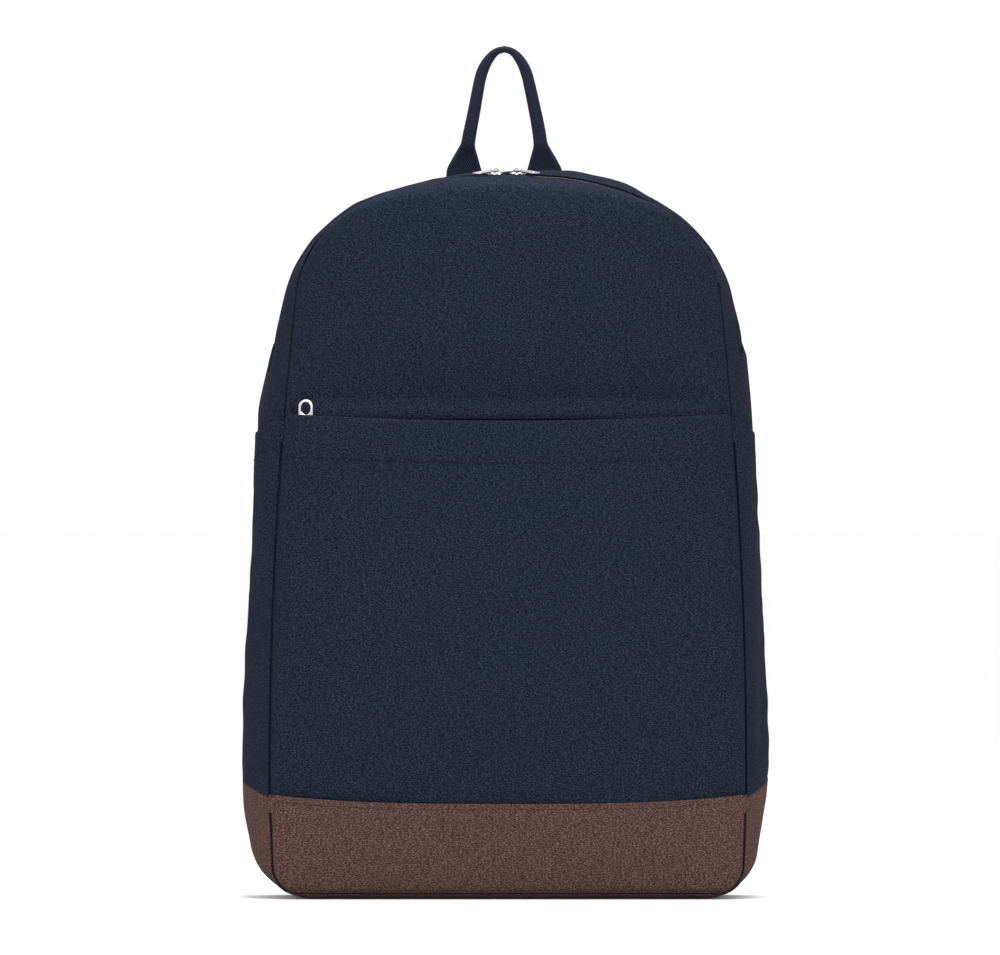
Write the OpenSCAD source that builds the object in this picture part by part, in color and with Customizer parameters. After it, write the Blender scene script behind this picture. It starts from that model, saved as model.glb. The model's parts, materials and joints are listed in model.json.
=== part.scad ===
/* [Body] */
// Height of the top of the bag, without the haul loop
top_z = 436.8; // [430:0.2:445]
// Outer face of the back panel
back_y = 40; // [36:1:44]
// Front seam at the base, as a distance forward of the axis
front_y = 62; // [58:1:66]
// How far the front leans back between the base and the top
front_lean = 22; // [16:1:28]
// Thickness of one fabric wall
wall = 2; // [1.6:0.1:2.4]
// Height of the brown base on the front
base_h = 57; // [50:1:64]

/* [Front pocket] */
// Height of the pocket's folded top edge at its middle
pocket_z = 286; // [270:1:290]
// How far the pocket stands off the panel behind it
pocket_gap = 13.4; // [12:0.1:14]

/* [Zippers] */
// Plane of the main zipper
zip_y = -12; // [-14:1:-10]
// Height of the two lower ends of the main zipper
zip_end_z = 330; // [320:1:345]
// Clear width between the strips that frame the coil
zip_gap = 10; // [9:0.5:12]
// Length of a zipper pull, from its pin
pull_len = 16; // [14:1:20]
// Width of a zipper pull
pull_w = 8.5; // [7:0.5:10]

/* [Straps] */
// Width of the padded shoulder straps at the shoulder
strap_w = 62; // [54:2:68]
// Thickness of the strap foam
foam_t = 8; // [6:1:10]
// Width of the adjusting webbing
web_w = 25; // [20:5:25]

/* [Hidden] */
$fn = 48;
clear = 0.3;          // running clearance between bodies
navy = [0.10, 0.12, 0.19];
dark = [0.05, 0.05, 0.06];
brown = [0.33, 0.24, 0.21];
metal = [0.70, 0.71, 0.73];
foam = [0.55, 0.56, 0.58];

// ---- Outlines -------------------------------------------------------------
// An outline is a chain of tangent arcs [radius, end angle from the top], closed along the bottom.
// silhouette: the widest section of the bag. seam: the front panel's seam.
top_r = 230;          // top arc, which the main sliders follow
arc_end = 21;         // end angle of that arc
silhouette = [[top_r, 10], [top_r, arc_end], [86, 76], [400, 84.5], [2300, 90], [239, 102.8], [35.5, 180]];
seam = [[417, 8], [126, 19.5], [67.5, 80], [67.5, 84], [2700, 90], [1200, 92.7], [16, 180]];
last = len(silhouette);
bottom_seam = 3.3;    // height of the front seam along the bottom
seam_drop = 9.8;      // height of the top over the front seam's top

// Sum of the drops of arcs i and on, leaving out arc 4, whose radius closes the height.
function drop(a, i, from) = i >= last ? 0 :
    (i == 4 ? 0 : a[i][0] * (cos(from) - cos(a[i][1]))) + drop(a, i + 1, a[i][1]);
function closed(a, high, low) = let (r = (high - low - drop(a, 0, 0)) / (cos(a[3][1]) - cos(a[4][1])))
    [for (i = [0 : last - 1]) i == 4 ? [r, a[i][1]] : a[i]];
// Centres of the arcs, each along the shared normal from the one before.
function centres(a, i, c) = i == last ? [] :
    let (s = i == 0 ? 0 : a[i - 1][1],
         d = i == 0 ? [0, 0] : (a[i - 1][0] - a[i][0]) * [sin(s), cos(s)])
    concat([c + d], centres(a, i + 1, c + d));
function outline(a, high, low) = let (k = closed(a, high, low))
    [k, centres(k, 0, [0, high - k[0][0]]), low];
wide = outline(silhouette, top_z, 0);
front = outline(seam, top_z - seam_drop, bottom_seam);
// Direction and point at parameter u: arc number plus the fraction along it, and the flat bottom last.
function turn(o, u) = let (i = min(floor(u), last - 1), s = i == 0 ? 0 : o[0][i - 1][1])
    u >= last ? 180 : s + (o[0][i][1] - s) * (u - i);
function normal(o, u) = [sin(turn(o, u)), cos(turn(o, u))];
function at(o, u) = let (i = min(floor(u), last - 1), p = o[1][i] + o[0][i][0] * normal(o, min(u, last)))
    u <= last ? p : [p[0] * (last + 1 - u), o[2]];
// Parameter where the outline falls to height z on its side, between arcs 0 and the last.
function u_at(o, z, lo = 0, hi = last, n = 22) = n == 0 ? (lo + hi) / 2 :
    let (m = (lo + hi) / 2) at(o, m)[1] > z ? u_at(o, z, m, hi, n - 1) : u_at(o, z, lo, m, n - 1);
// The front outline's parameter that goes with u of the silhouette: level with it along the sides.
level = [3, last - 1];
matched = [for (u = level) u_at(front, at(wide, u)[1])];
function match(u) = u > last ? u : u <= level[0] ? u * matched[0] / level[0]
    : u <= level[1] ? u_at(front, at(wide, u)[1])
    : matched[1] + (last - matched[1]) * (u - level[1]) / (last - level[1]);
function ramp(t) = let (c = min(1, max(0, t))) c * c * (3 - 2 * c);
// A mirrored outline takes a negative u.
function both(o, u, inset = 0) = let (p = at(o, abs(u)) - inset * normal(o, abs(u)))
    [u < 0 ? -p[0] : p[0], p[1]];

// ---- Front and gusset surfaces -------------------------------------------
lean_from = 60;       // the front is upright below this height
function front_at(z) = -front_y + (z > lean_from
    ? front_lean * pow((z - lean_from) / (top_z - lean_from), 1.5) : 4 * pow(1 - z / lean_from, 2));
function seam_y(u) = front_at(at(front, match(abs(u)))[1]);
function back_inset(u) = u < 5 ? 10 : max(4, 10 - 4 * (u - 5));
// Shares of the depth where the gusset reaches, and leaves, its full width. The bottom is flat.
function swell(u) = let (k = ramp((u - 5.6) / 1.2)) [0.45 - 0.35 * k, 0.62 + 0.32 * k];
mouth_z = 300;        // the gusset sinks below this height, behind the side pocket
sink = 9.5;           // depth of that hollow
step_in = 1.9;        // the gusset lies this far behind the side pocket's outer face
function hollow(u, v) = let (z = at(wide, abs(u))[1])
    step_in * ramp((mouth_z - z) / 8) + (sink - step_in) * ramp((335 - z) / 40)
        * ramp((z - 75) / 25) * ramp((v - 0.34) / 0.16) * ramp((0.86 - v) / 0.16);
// Point on the gusset: u around the outline, v from the front seam to the back seam, inset inwards.
function gusset_at(u, y, inset = 0, sunk = 0) =
    let (f = both(front, sign(u) * match(abs(u)), inset), s = both(wide, u, inset),
         b = both(wide, u, inset + back_inset(abs(u))),
         y0 = front_at(f[1]), v = (y - y0) / (back_y - y0), c = swell(abs(u)),
         w = v < c[0] ? 1 - pow(1 - v / c[0], 2) : v > c[1] ? 1 - pow((v - c[1]) / (1 - c[1]), 2) : 1,
         p = (v < 0.5 ? f : b) * (1 - w) + s * w,
         h = sunk * hollow(u, v), n = normal(wide, abs(u)))
    [p[0] - h * n[0] * sign(u), y, p[1] - h * n[1]];

// Closed solid between an outer and an inner grid of points, each a list of equal rows.
module skin(outer, inner) {
    n = len(outer);
    m = len(outer[0]);
    o = [for (r = outer) each r];
    i = [for (r = inner) each r];
    k = n * m;
    function quad(a, b, c, d) = [[a, b, c], [a, c, d]];
    faces = concat(
        [for (r = [0 : n - 2], c = [0 : m - 2])
            each quad(r * m + c, r * m + c + 1, (r + 1) * m + c + 1, (r + 1) * m + c)],
        [for (r = [0 : n - 2], c = [0 : m - 2])
            each quad(k + r * m + c, k + (r + 1) * m + c, k + (r + 1) * m + c + 1, k + r * m + c + 1)],
        [for (c = [0 : m - 2]) each quad(c, k + c, k + c + 1, c + 1)],
        [for (c = [0 : m - 2]) let (e = (n - 1) * m)
            each quad(e + c, e + c + 1, k + e + c + 1, k + e + c)],
        [for (r = [0 : n - 2]) each quad(r * m, (r + 1) * m, k + (r + 1) * m, k + r * m)],
        [for (r = [0 : n - 2]) let (e = m - 1)
            each quad(r * m + e, k + r * m + e, k + (r + 1) * m + e, (r + 1) * m + e)]);
    polyhedron(concat(o, i), faces, convexity = 8);
}
// Values from a to b in n steps.
function steps(a, b, n) = [for (i = [0 : n]) a + (b - a) * i / n];

// ---- Front panels ---------------------------------------------------------
// A front panel between two heights: rows run across the seam outline. stand is how far it stands
// off the seam plane at its middle, at its lower edge, half way up and at its upper edge.
// sag lowers the middle of the upper edge. lift brings the upper edge forward, across its whole width.
half_cols = [for (t = steps(0, 1, 9)) 1 - pow(1 - t, 2)];
all_cols = concat([for (i = [9 : -1 : 1]) -half_cols[i]], half_cols);
module front_panel(z0, z1, rows, stand, t, power = 2, edge = 0, sag = 0, lift = 0) {
    us = [for (z = steps(z0, z1, rows)) u_at(front, z)];
    function bow(k) = stand[0] * (1 - k) + stand[2] * k
        + (stand[1] - (stand[0] + stand[2]) / 2) * 4 * k * (1 - k);
    function grid(off) = [for (i = [0 : rows]) let (p = at(front, us[i]), k = i / rows)
        [for (s = all_cols) let (z = p[1] - sag * k * (1 - s * s))
            [s * (p[0] - edge), front_at(z) - off - lift * ramp((z - z1 + 16) / 8)
                - bow(k) * (1 - pow(abs(s), power)), z]]];
    skin(grid(t), grid(0));
}

hinge_z = 302;        // fold line of the opening front
hinge_y = front_at(hinge_z) - wall - 0.6;
flap_gap = 0.4;       // gap along the fold line
// Height of the cut between the opening front and the rest, rising from the fold to the zipper's end.
cut_rise = (zip_end_z - hinge_z) / (zip_y - hinge_y);
function cut_z(y) = min(zip_end_z, hinge_z + cut_rise * (y - hinge_y));

module flap_panel() color(navy)
    front_panel(hinge_z + flap_gap, top_z - seam_drop - 0.3, 12, [0, 7, 0], wall);
module pocket_back_panel() color(navy)
    front_panel(bottom_seam + 0.3, hinge_z, 12, [0, 0, 0], wall);

// The pocket hangs in front of its back panel. Its bottom tucks behind the base panel.
pocket_power = 24;
pocket_sag = 4;
module pocket_panel() color(navy) translate([0, -wall - 0.2, 0])
    front_panel(base_h - 6, pocket_z + pocket_sag, 10, [3, pocket_gap, pocket_gap - 1.9], 1.8,
        pocket_power, 1.5, pocket_sag);
module base_front_panel() color(brown)
    translate([0, -wall, 0])
    front_panel(bottom_seam + 0.3, base_h, 8, [0, 4.2, 4.1], 1.8, pocket_power, 0.5, 0, 2.1);

// ---- Gusset ---------------------------------------------------------------
// Depths of the rows: shares of the way from y0 to y1.
module strip(us, ys, inset, t, sunk = 0) {
    function grid(d) = [for (u = us) [for (y = ys(u)) gusset_at(u, y, d, sunk)]];
    skin(grid(inset), grid(inset + t));
}
u_zip = u_at(wide, zip_end_z);
function arch(u_end) = let (right = concat(steps(0, 2, 8), steps(2.1, 3, 8),
        steps(3 + (u_end - 3) / 3, u_end, 2)))
    concat([for (i = [len(right) - 1 : -1 : 1]) -right[i]], right);

// The front strip's rows end on the cut, which rises from the fold to the zipper's end.
strip_cols = 5;
module zip_strip_front() {
    edge = zip_y - zip_gap / 2;
    cols = steps(0, 1, strip_cols);
    ends = [for (k = cols) u_at(wide, cut_z(hinge_y + (edge - hinge_y) * k) + flap_gap)];
    function spot(u, j) = let (un = u * ends[j] / u_zip, y0 = seam_y(un))
        [un, y0 + (edge - y0) * cols[j]];
    function grid(d) = [for (u = arch(u_zip)) [for (j = [0 : strip_cols])
        let (q = spot(u, j)) gusset_at(q[0], q[1], d)]];
    color(navy) skin(grid(0), grid(wall));
}
module zip_strip_back() color(navy)
    strip(arch(u_zip), function(u) steps(zip_y + zip_gap / 2, back_y, 6), 0, wall);

boot_front = 60;      // height of the brown base at the front seam and at the back seam
boot_back = 74;
function depth_at(k) = -front_y + (back_y + front_y) * k;
function boot_z(y) = boot_back
    - (boot_back - boot_front) * pow(min(1, (back_y - y) / (back_y + front_y)), 2.6);
seam_gap = 0.2;       // clears the front panels
// A wall of one side gusset between two heights given for each column, over shares k0 to k1 of the depth.
module side_wall(side, cols, rows, top, bottom, inset, t, sunk) {
    function grid(d) = [for (i = [0 : rows]) [for (k = cols)
        let (u0 = u_at(wide, top(k)), u = u0 + (u_at(wide, bottom(k)) - u0) * i / rows,
             y0 = seam_y(u) + seam_gap, y = y0 + (back_y - y0) * k)
        gusset_at(side * u, y, d, sunk)]];
    if (side > 0) skin(grid(inset), grid(inset + t));
    else skin(grid(inset + t), grid(inset));
}
module side_gusset(side) color(navy)
    side_wall(side, steps(0, 1, 12), 16, function(k) cut_z(hinge_y * (1 - k) + back_y * k) - flap_gap,
        function(k) boot_z(depth_at(k)), 0, wall, 1);
module side_gusset_left() side_gusset(-1);
module side_gusset_right() side_gusset(1);

pocket_drop = 12;     // fall of the side pocket's mouth from its front end to its middle
module side_pocket(side) color(navy)
    side_wall(side, steps(0.02, 0.95, 10), 12,
        function(k) pocket_z + 2 - pocket_drop * (1 - pow(1 - 1.05 * k, 2)),
        function(k) boot_z(depth_at(k)) + 0.3, 0, 1.5, 0);
module side_pocket_left() side_pocket(-1);
module side_pocket_right() side_pocket(1);

module base_gusset() {
    cols = steps(0, 1, 10);
    rows = 14;
    // From a boot's upper edge down round the corner to the flat bottom.
    function half(d, s) = [for (i = [0 : rows]) [for (k = cols)
        let (u0 = u_at(wide, boot_z(depth_at(k)) - 0.05), u = u0 + (last - u0) * i / rows,
             y0 = seam_y(u) + seam_gap)
        gusset_at(s * u, y0 + (back_y - y0) * k, d)]];
    function grid(d) = let (l = half(d, -1)) concat(half(d, 1), [for (i = [rows : -1 : 0]) l[i]]);
    color(brown) skin(grid(0), grid(wall));
}
module base_board() color(dark) translate([-112, -44, wall + 0.1]) cube([224, 72, 2.4]);

// ---- Back -----------------------------------------------------------------
module back_shape(inset) polygon(let (h = concat(steps(0, 1.8, 5), steps(2, 3, 9), [3.5, 4, 4.6],
        steps(5, 6, 4), steps(6.1, last, 8)), p = function(u) both(wide, u, back_inset(abs(u)) + inset))
    concat([for (u = h) p(u)], [for (i = [len(h) - 1 : -1 : 1]) p(-h[i])]));
// A slab of that shape between two depths.
module back_slab(inset, y0, y1) translate([0, y1, 0]) rotate([90, 0, 0])
    linear_extrude(y1 - y0) back_shape(inset);
pad_t = 8;
lining_t = 1.6;
module back_panel() color(navy) back_slab(0, back_y, back_y + wall);
module back_pad_foam() color(foam) back_slab(5, back_y - pad_t, back_y);
module back_lining() color(dark) back_slab(5, back_y - pad_t - lining_t, back_y - pad_t);

sleeve_w = 236;
sleeve_z = [12, 300];
sleeve_gap = 7;
sleeve_wall = 4;
module laptop_sleeve() color(dark) {
    back = back_y - pad_t - lining_t;
    depth = sleeve_gap + sleeve_wall;
    difference() {
        translate([-sleeve_w / 2, back - depth, sleeve_z[0]])
            cube([sleeve_w, depth, sleeve_z[1] - sleeve_z[0]]);
        translate([-sleeve_w / 2 + sleeve_wall, back - sleeve_gap, sleeve_z[0] + sleeve_wall])
            cube([sleeve_w - 2 * sleeve_wall, sleeve_gap + 1, sleeve_z[1] - sleeve_z[0]]);
    }
}
module sleeve_binding() color(brown)
    translate([-sleeve_w / 2, back_y - pad_t - lining_t - sleeve_gap - sleeve_wall, sleeve_z[1]])
        cube([sleeve_w, sleeve_wall, 3]);

// Binding tapes over the raw seams inside.
binding_w = 7;
module flap_seam_binding() color(dark) strip(arch(u_at(wide, 310)),
    function(u) let (y0 = seam_y(u)) [y0 + 0.4, y0 + binding_w], wall + 1.8, 1);
module back_seam_binding() color(dark) strip(arch(u_zip),
    function(u) [back_y - pad_t - binding_w, back_y - pad_t - 2.2], wall + 0.3, 1);

// ---- Main zipper ----------------------------------------------------------
tape_in = [4.6, 5.3];  // depth of the tape under the widest outline
coil_in = [2.8, 4.5];
tape_half = [0.5, 9];  // across the zipper, from its middle
coil_half = [0.5, 2.6];
notch = 0.36;          // half length, along the first arc, left out of the front row under the sliders
function side_arc(u0) = concat([u0], steps(0.5, 2, 6), steps(2.1, 3, 8), steps(3.3, u_zip - 0.02, 3));
module rail(us, across, depth) {
    function grid(d) = [for (u = us) [for (y = across) let (p = both(wide, u, d)) [p[0], y, p[1]]]];
    skin(grid(depth[0]), grid(depth[1]));
}
function mirror_list(l) = [for (i = [len(l) - 1 : -1 : 0]) -l[i]];
module front_row(half, depth) {
    across = [zip_y - half[1], zip_y - half[0]];
    rail(side_arc(notch), across, depth);
    rail(mirror_list(side_arc(notch)), across, depth);
}
module back_row(half, depth)
    rail(concat(mirror_list(side_arc(0.25)), [0], side_arc(0.25)),
        [zip_y + half[0], zip_y + half[1]], depth);
module main_tape_front() color(dark) front_row(tape_half, tape_in);
module main_tape_back() color(dark) back_row(tape_half, tape_in);
module main_coil_front() color(dark) front_row(coil_half, coil_in);
module main_coil_back() color(dark) back_row(coil_half, coil_in);
tab_h = 12;
module zip_end_tabs() color(navy) for (side = [-1, 1])
    side_wall(side, [0.38, 0.46, 0.54], 2, function(k) zip_end_z - 1, function(k) zip_end_z - 1 - tab_h,
        -1.4, 1.2, 0);

// Slider in its own frame: x along the zipper, y across it, z away from the bag, z = 0 on the tape.
slider_l = 10;
slider_w = 8.4;
plate_t = 0.9;
module slider_body(bridge_h, pin_z, hole_r, along, turn = 0) {
    low = -clear - plate_t - 0.4;
    high = coil_in[1] - coil_in[0] + 0.7;
    slot = -clear - 0.6;
    difference() {
        translate([-slider_l / 2, -slider_w / 2, low]) cube([slider_l, slider_w, high + plate_t - low]);
        // coil channel and tape slot
        translate([-slider_l, -coil_half[1] - clear, slot])
            cube([2 * slider_l, 2 * coil_half[1] + 2 * clear, high - slot]);
        translate([-slider_l, -slider_w, slot]) cube([2 * slider_l, 2 * slider_w, 0.4 - slot]);
    }
    // guide post between the two rows
    translate([-2.5, -0.25, -0.8]) cube([5, 0.5, high + 0.9]);
    // bridge with the pin's hole
    rotate([0, 0, turn]) difference() {
        translate([-2.4, -1.4, high + plate_t - 0.01]) cube([4.8, 2.8, bridge_h]);
        translate([0, 0, pin_z]) rotate(along ? [0, 90, 0] : [90, 0, 0])
            cylinder(r = hole_r, h = 12, center = true);
    }
}
// Pull in its own frame: the pin along y at the origin, the plate along x.
ring_t = 1.35;
module pull(pin_r, t, window) {
    r = pull_w / 2;
    difference() {
        translate([0, 0, -t / 2]) linear_extrude(t) difference() {
            union() {
                translate([-1.2, -r]) square([pull_len - r + 1.2, pull_w]);
                translate([pull_len - r, 0]) circle(r = r);
            }
            translate([-2, -window / 2]) square([6.8, window]);
            // oval hole
            translate([9.9, -r + ring_t]) square([pull_len - r - 9.9, pull_w - 2 * ring_t]);
            for (x = [9.9, pull_len - r]) translate([x, 0]) circle(r = r - ring_t);
        }
        rotate([90, 0, 0]) cylinder(r = pin_r, h = 2 * pull_w, center = true);
    }
    rotate([90, 0, 0]) cylinder(r = pin_r, h = pull_w, center = true);
}
arc_z = top_z - top_r;                       // centre of the arc that the sliders follow
tape_r = top_r - tape_in[0];
main_pin = 4.9;
slider_at = [-8, 6];                         // places of the two sliders along the top
module on_arc(x) translate([0, zip_y, arc_z]) rotate([0, asin(x / tape_r), 0]) translate([0, 0, tape_r])
    children();
pull_turn = [220, -40];                      // ways the two pulls lie, outwards and over the front
pull_tilt = 0;                               // how far their free ends hang down
module main_slider(i) color(metal) on_arc(slider_at[i])
    slider_body(2.9, main_pin, 1.2, false, pull_turn[i]);
module main_pull(i) color(metal) on_arc(slider_at[i]) translate([0, 0, main_pin])
    rotate([0, 0, pull_turn[i]]) rotate([0, pull_tilt, 0]) pull(0.9, 1.3, 5.6);
module main_slider_left() main_slider(0);
module main_slider_right() main_slider(1);
module main_pull_left() main_pull(0);
module main_pull_right() main_pull(1);

// ---- Pocket zipper --------------------------------------------------------
pocket_zip_y = -56.6;                        // front face of the tape
pocket_zip_z = 283;
pocket_zip_x = 126;                          // half length
pocket_slider_x = -121;
module pocket_tape() color(dark) for (s = [-1, 1])
    translate([-pocket_zip_x, pocket_zip_y, pocket_zip_z + (s > 0 ? tape_half[0] : -tape_half[1])])
        cube([2 * pocket_zip_x, 0.7, tape_half[1] - tape_half[0]]);
module pocket_coil() color(dark) for (s = [-1, 1])
    translate([-pocket_zip_x, pocket_zip_y - 1.8, pocket_zip_z + (s > 0 ? coil_half[0] : -coil_half[1])])
        cube([2 * pocket_zip_x, 1.7, coil_half[1] - coil_half[0]]);
pocket_pin = 4.1;
pull_lean = 2.5;
module on_pocket_zip() translate([pocket_slider_x, pocket_zip_y, pocket_zip_z]) rotate([90, 0, 0])
    children();
module pocket_slider() color(metal) on_pocket_zip() slider_body(1.9, pocket_pin, 0.95, true);
module pocket_pull() color(metal) on_pocket_zip() translate([0, 0, pocket_pin])
    rotate([-pull_lean, 0, 0]) rotate([0, 0, 90]) pull(0.65, 1.2, 5.6);

// ---- Webbing and straps ---------------------------------------------------
function unit(v) = v / norm(v);
// Points between p[1] and p[2] on a smooth curve through four points.
function curve(p, t) = 0.5 * (2 * p[1] + t * (p[2] - p[0]) + t * t * (2 * p[0] - 5 * p[1] + 4 * p[2] - p[3])
    + t * t * t * (3 * p[1] - p[0] - 3 * p[2] + p[3]));
function smooth(l, n) = let (m = len(l) - 1) concat([for (i = [0 : m - 1], k = [0 : n - 1])
    curve([l[max(i - 1, 0)], l[i], l[i + 1], l[min(i + 2, m)]], k / n)], [l[m]]);
function along(l, i) = unit(l[min(i + 1, len(l) - 1)] - l[max(i - 1, 0)]);
// A ribbon along points [x, y, z, width], between distances n0 and n1 from them on its outer side,
// starting at the given point.
module ribbon(path, n0, n1, first = 0) {
    p = [for (q = path) [q[0], q[1], q[2]]];
    function row(n) = [for (i = [first : len(p) - 1])
        let (t = along(p, i), e = unit(cross(t, [0, 1, 0])), o = cross(e, t))
            [p[i] - e * path[i][3] / 2 + o * n, p[i] + e * path[i][3] / 2 + o * n]];
    skin(row(n1), row(n0));
}

loop_x = -2.2;        // middle of the haul loop
loop_y = 41.2;
// Right half of its centreline, from the foot to the top, with half the width across the line and
// half the depth: webbing that lies flat at the foot and is folded double above.
loop_right = [[24, 428.4, 10, 1.2], [23.9, 438, 10, 1.2], [23.3, 444, 8.6, 1.5], [22.6, 450, 4.4, 3.8],
    [19.9, 467, 4, 5], [15.5, 488.4, 3.5, 5], [12.5, 497, 3.5, 5], [8.3, 504, 3, 5], [4.3, 508.2, 2.2, 5],
    [0, 509.6, 1.9, 5]];
module haul_loop() {
    right = smooth(loop_right, 2);
    n = len(right) - 1;
    path = concat(right, [for (i = [n - 1 : -1 : 0]) let (q = right[i]) [-q[0], q[1], q[2], q[3]]]);
    m = len(path) - 1;
    function row(side) = [for (i = [0 : m])
        let (a = path[max(i - 1, 0)], b = path[min(i + 1, m)], t = unit([b[0] - a[0], b[1] - a[1]]),
             e = [t[1], 0, -t[0]] * path[i][2],
             c = [path[i][0] + loop_x, loop_y + side * path[i][3], path[i][1]])
        [c - e, c + e]];
    color(navy) skin(row(1), row(-1));
}
module strap_yoke() color(navy) translate([-64, back_y + wall, 403.6]) cube([128, 2, 8.8]);

// Right strap: points and widths by hand, from the shoulder to the adjuster.
strap_line = [[38, 49.7, 400, strap_w], [44, 58, 370, strap_w], [54, 66, 335, 60], [67, 70, 290, 57],
    [80, 69, 245, 53], [91, 64, 200, 49], [98, 58, 162, 45]];
strap_points = smooth(strap_line, 2);
cover_t = 1.4;
module strap_side(side) { if (side > 0) children(); else mirror([1, 0, 0]) children(); }
module strap_foam(side) color(foam) strap_side(side) ribbon(strap_points, -foam_t / 2, foam_t / 2);
module strap_cover(side) color(navy) strap_side(side) {
    ribbon(strap_points, foam_t / 2, foam_t / 2 + cover_t);
    ribbon(strap_points, -foam_t / 2 - cover_t, -foam_t / 2);
}
web_t = 1.6;
web_from = 8;         // strap point where the webbing starts
web_at = foam_t / 2 + cover_t + 0.25;
module strap_webbing(side) color(navy) strap_side(side)
    ribbon([for (q = concat(strap_points, [[100.5, 53, 151.3]])) [q[0], q[1], q[2], web_w]],
        web_at, web_at + web_t, web_from);
lock_at = [102.5, 55.5, 133];
lock_size = [34, 3.6, 24];
module ladder_lock(side) color(dark) strap_side(side) translate(lock_at) rotate([0, 6, 0]) difference() {
    translate(-lock_size / 2) cube(lock_size);
    for (z = [-5.4, 1.2, 7.4]) translate([-13.5, -5, z - 1.9]) cube([27, 10, 3.8]);
}
lower_line = [[104.5, 59.4, 121, web_w], [108, 58, 100, web_w], [113, 55, 78, web_w], [117, 51, 60, web_w]];
module lower_webbing(side) color(navy) strap_side(side) ribbon(smooth(lower_line, 2), 0, web_t);
module anchor_tab(side) color(navy) strap_side(side) translate([0, back_y + wall + 2, 0]) rotate([90, 0, 0])
    linear_extrude(2) polygon([[106, 56], [134, 52], [134, 34], [112, 28]]);
module strap_foam_left() strap_foam(-1);
module strap_foam_right() strap_foam(1);
module strap_cover_left() strap_cover(-1);
module strap_cover_right() strap_cover(1);
module strap_webbing_left() strap_webbing(-1);
module strap_webbing_right() strap_webbing(1);
module ladder_lock_left() ladder_lock(-1);
module ladder_lock_right() ladder_lock(1);
module lower_webbing_left() lower_webbing(-1);
module lower_webbing_right() lower_webbing(1);
module anchor_tab_left() anchor_tab(-1);
module anchor_tab_right() anchor_tab(1);

flap_panel();
zip_strip_front();
zip_strip_back();
pocket_back_panel();
pocket_panel();
base_front_panel();
side_gusset_left();
side_gusset_right();
base_gusset();
base_board();
back_panel();
back_pad_foam();
back_lining();
laptop_sleeve();
sleeve_binding();
flap_seam_binding();
back_seam_binding();
side_pocket_left();
side_pocket_right();
main_tape_front();
main_tape_back();
main_coil_front();
main_coil_back();
zip_end_tabs();
main_slider_left();
main_slider_right();
main_pull_left();
main_pull_right();
pocket_tape();
pocket_coil();
pocket_slider();
pocket_pull();
haul_loop();
strap_yoke();
strap_foam_left();
strap_foam_right();
strap_cover_left();
strap_cover_right();
strap_webbing_left();
strap_webbing_right();
ladder_lock_left();
ladder_lock_right();
lower_webbing_left();
lower_webbing_right();
anchor_tab_left();
anchor_tab_right();
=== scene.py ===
import json
import math

import bpy
import numpy as np
from mathutils import Matrix, Vector

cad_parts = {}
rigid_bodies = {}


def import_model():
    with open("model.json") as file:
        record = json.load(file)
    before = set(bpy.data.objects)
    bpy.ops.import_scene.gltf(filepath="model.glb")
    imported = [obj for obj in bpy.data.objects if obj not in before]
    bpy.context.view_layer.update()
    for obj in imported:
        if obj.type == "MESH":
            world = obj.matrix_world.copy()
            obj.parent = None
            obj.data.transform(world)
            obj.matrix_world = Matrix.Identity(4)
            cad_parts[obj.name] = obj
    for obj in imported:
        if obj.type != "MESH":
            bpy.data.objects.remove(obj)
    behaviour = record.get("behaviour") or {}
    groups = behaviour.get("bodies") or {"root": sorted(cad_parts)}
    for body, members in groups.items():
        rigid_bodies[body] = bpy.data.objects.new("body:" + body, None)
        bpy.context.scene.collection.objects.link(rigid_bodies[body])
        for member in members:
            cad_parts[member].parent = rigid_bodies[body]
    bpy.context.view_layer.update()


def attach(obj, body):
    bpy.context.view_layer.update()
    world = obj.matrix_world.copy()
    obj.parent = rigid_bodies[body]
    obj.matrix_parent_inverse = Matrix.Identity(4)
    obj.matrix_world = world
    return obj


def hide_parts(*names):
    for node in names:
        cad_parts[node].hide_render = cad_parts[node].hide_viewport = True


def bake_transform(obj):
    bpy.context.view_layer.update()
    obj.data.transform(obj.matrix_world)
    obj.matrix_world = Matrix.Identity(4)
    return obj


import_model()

MM = 0.001

# ---------------------------------------------------------------- shape of the bag, in millimetres
TOP_Z = 436.8            # top of the bag without the haul loop
BACK_Y = 40.0            # seam plane of the back
FRONT_Y = 62.0           # seam plane of the front at the base
LEAN = 22.0              # how far the front leans back by the top
ZIP_Y = -12.0            # plane of the main zipper
ZIP_END_Z = 330.0        # lower ends of the main zipper
ZIP_GAP = 10.0           # clear width between the two strips
HINGE_Z = 302.0          # fold line of the opening front
BOOT = (60.0, 74.0)      # height of the brown gusset at the front and the back seam
CUT_SLOPE = 28 / 41.28   # rise of the slanting cut below the zipper's ends, for each mm backwards
CUT_FRONT = 53.28        # where that cut starts, in front of the middle
SIDE_SINK = 9.5          # how far the side gusset sinks behind a slip pocket
POCKET_TOP = 290.4       # folded edge of the front pocket
POCKET_SAG = 4.0         # how far that edge hangs down in the middle
POCKET_SEAM = 26.5       # from that edge down to its stitching
MOUTH_SEAM = 12.5        # from a slip pocket's mouth down to its stitching
BASE_SEAM = 3.1          # from the brown base's edge down to its stitching
ZIP_SEAM = 2.6           # from the zipper's strips' edges to their stitching


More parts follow.
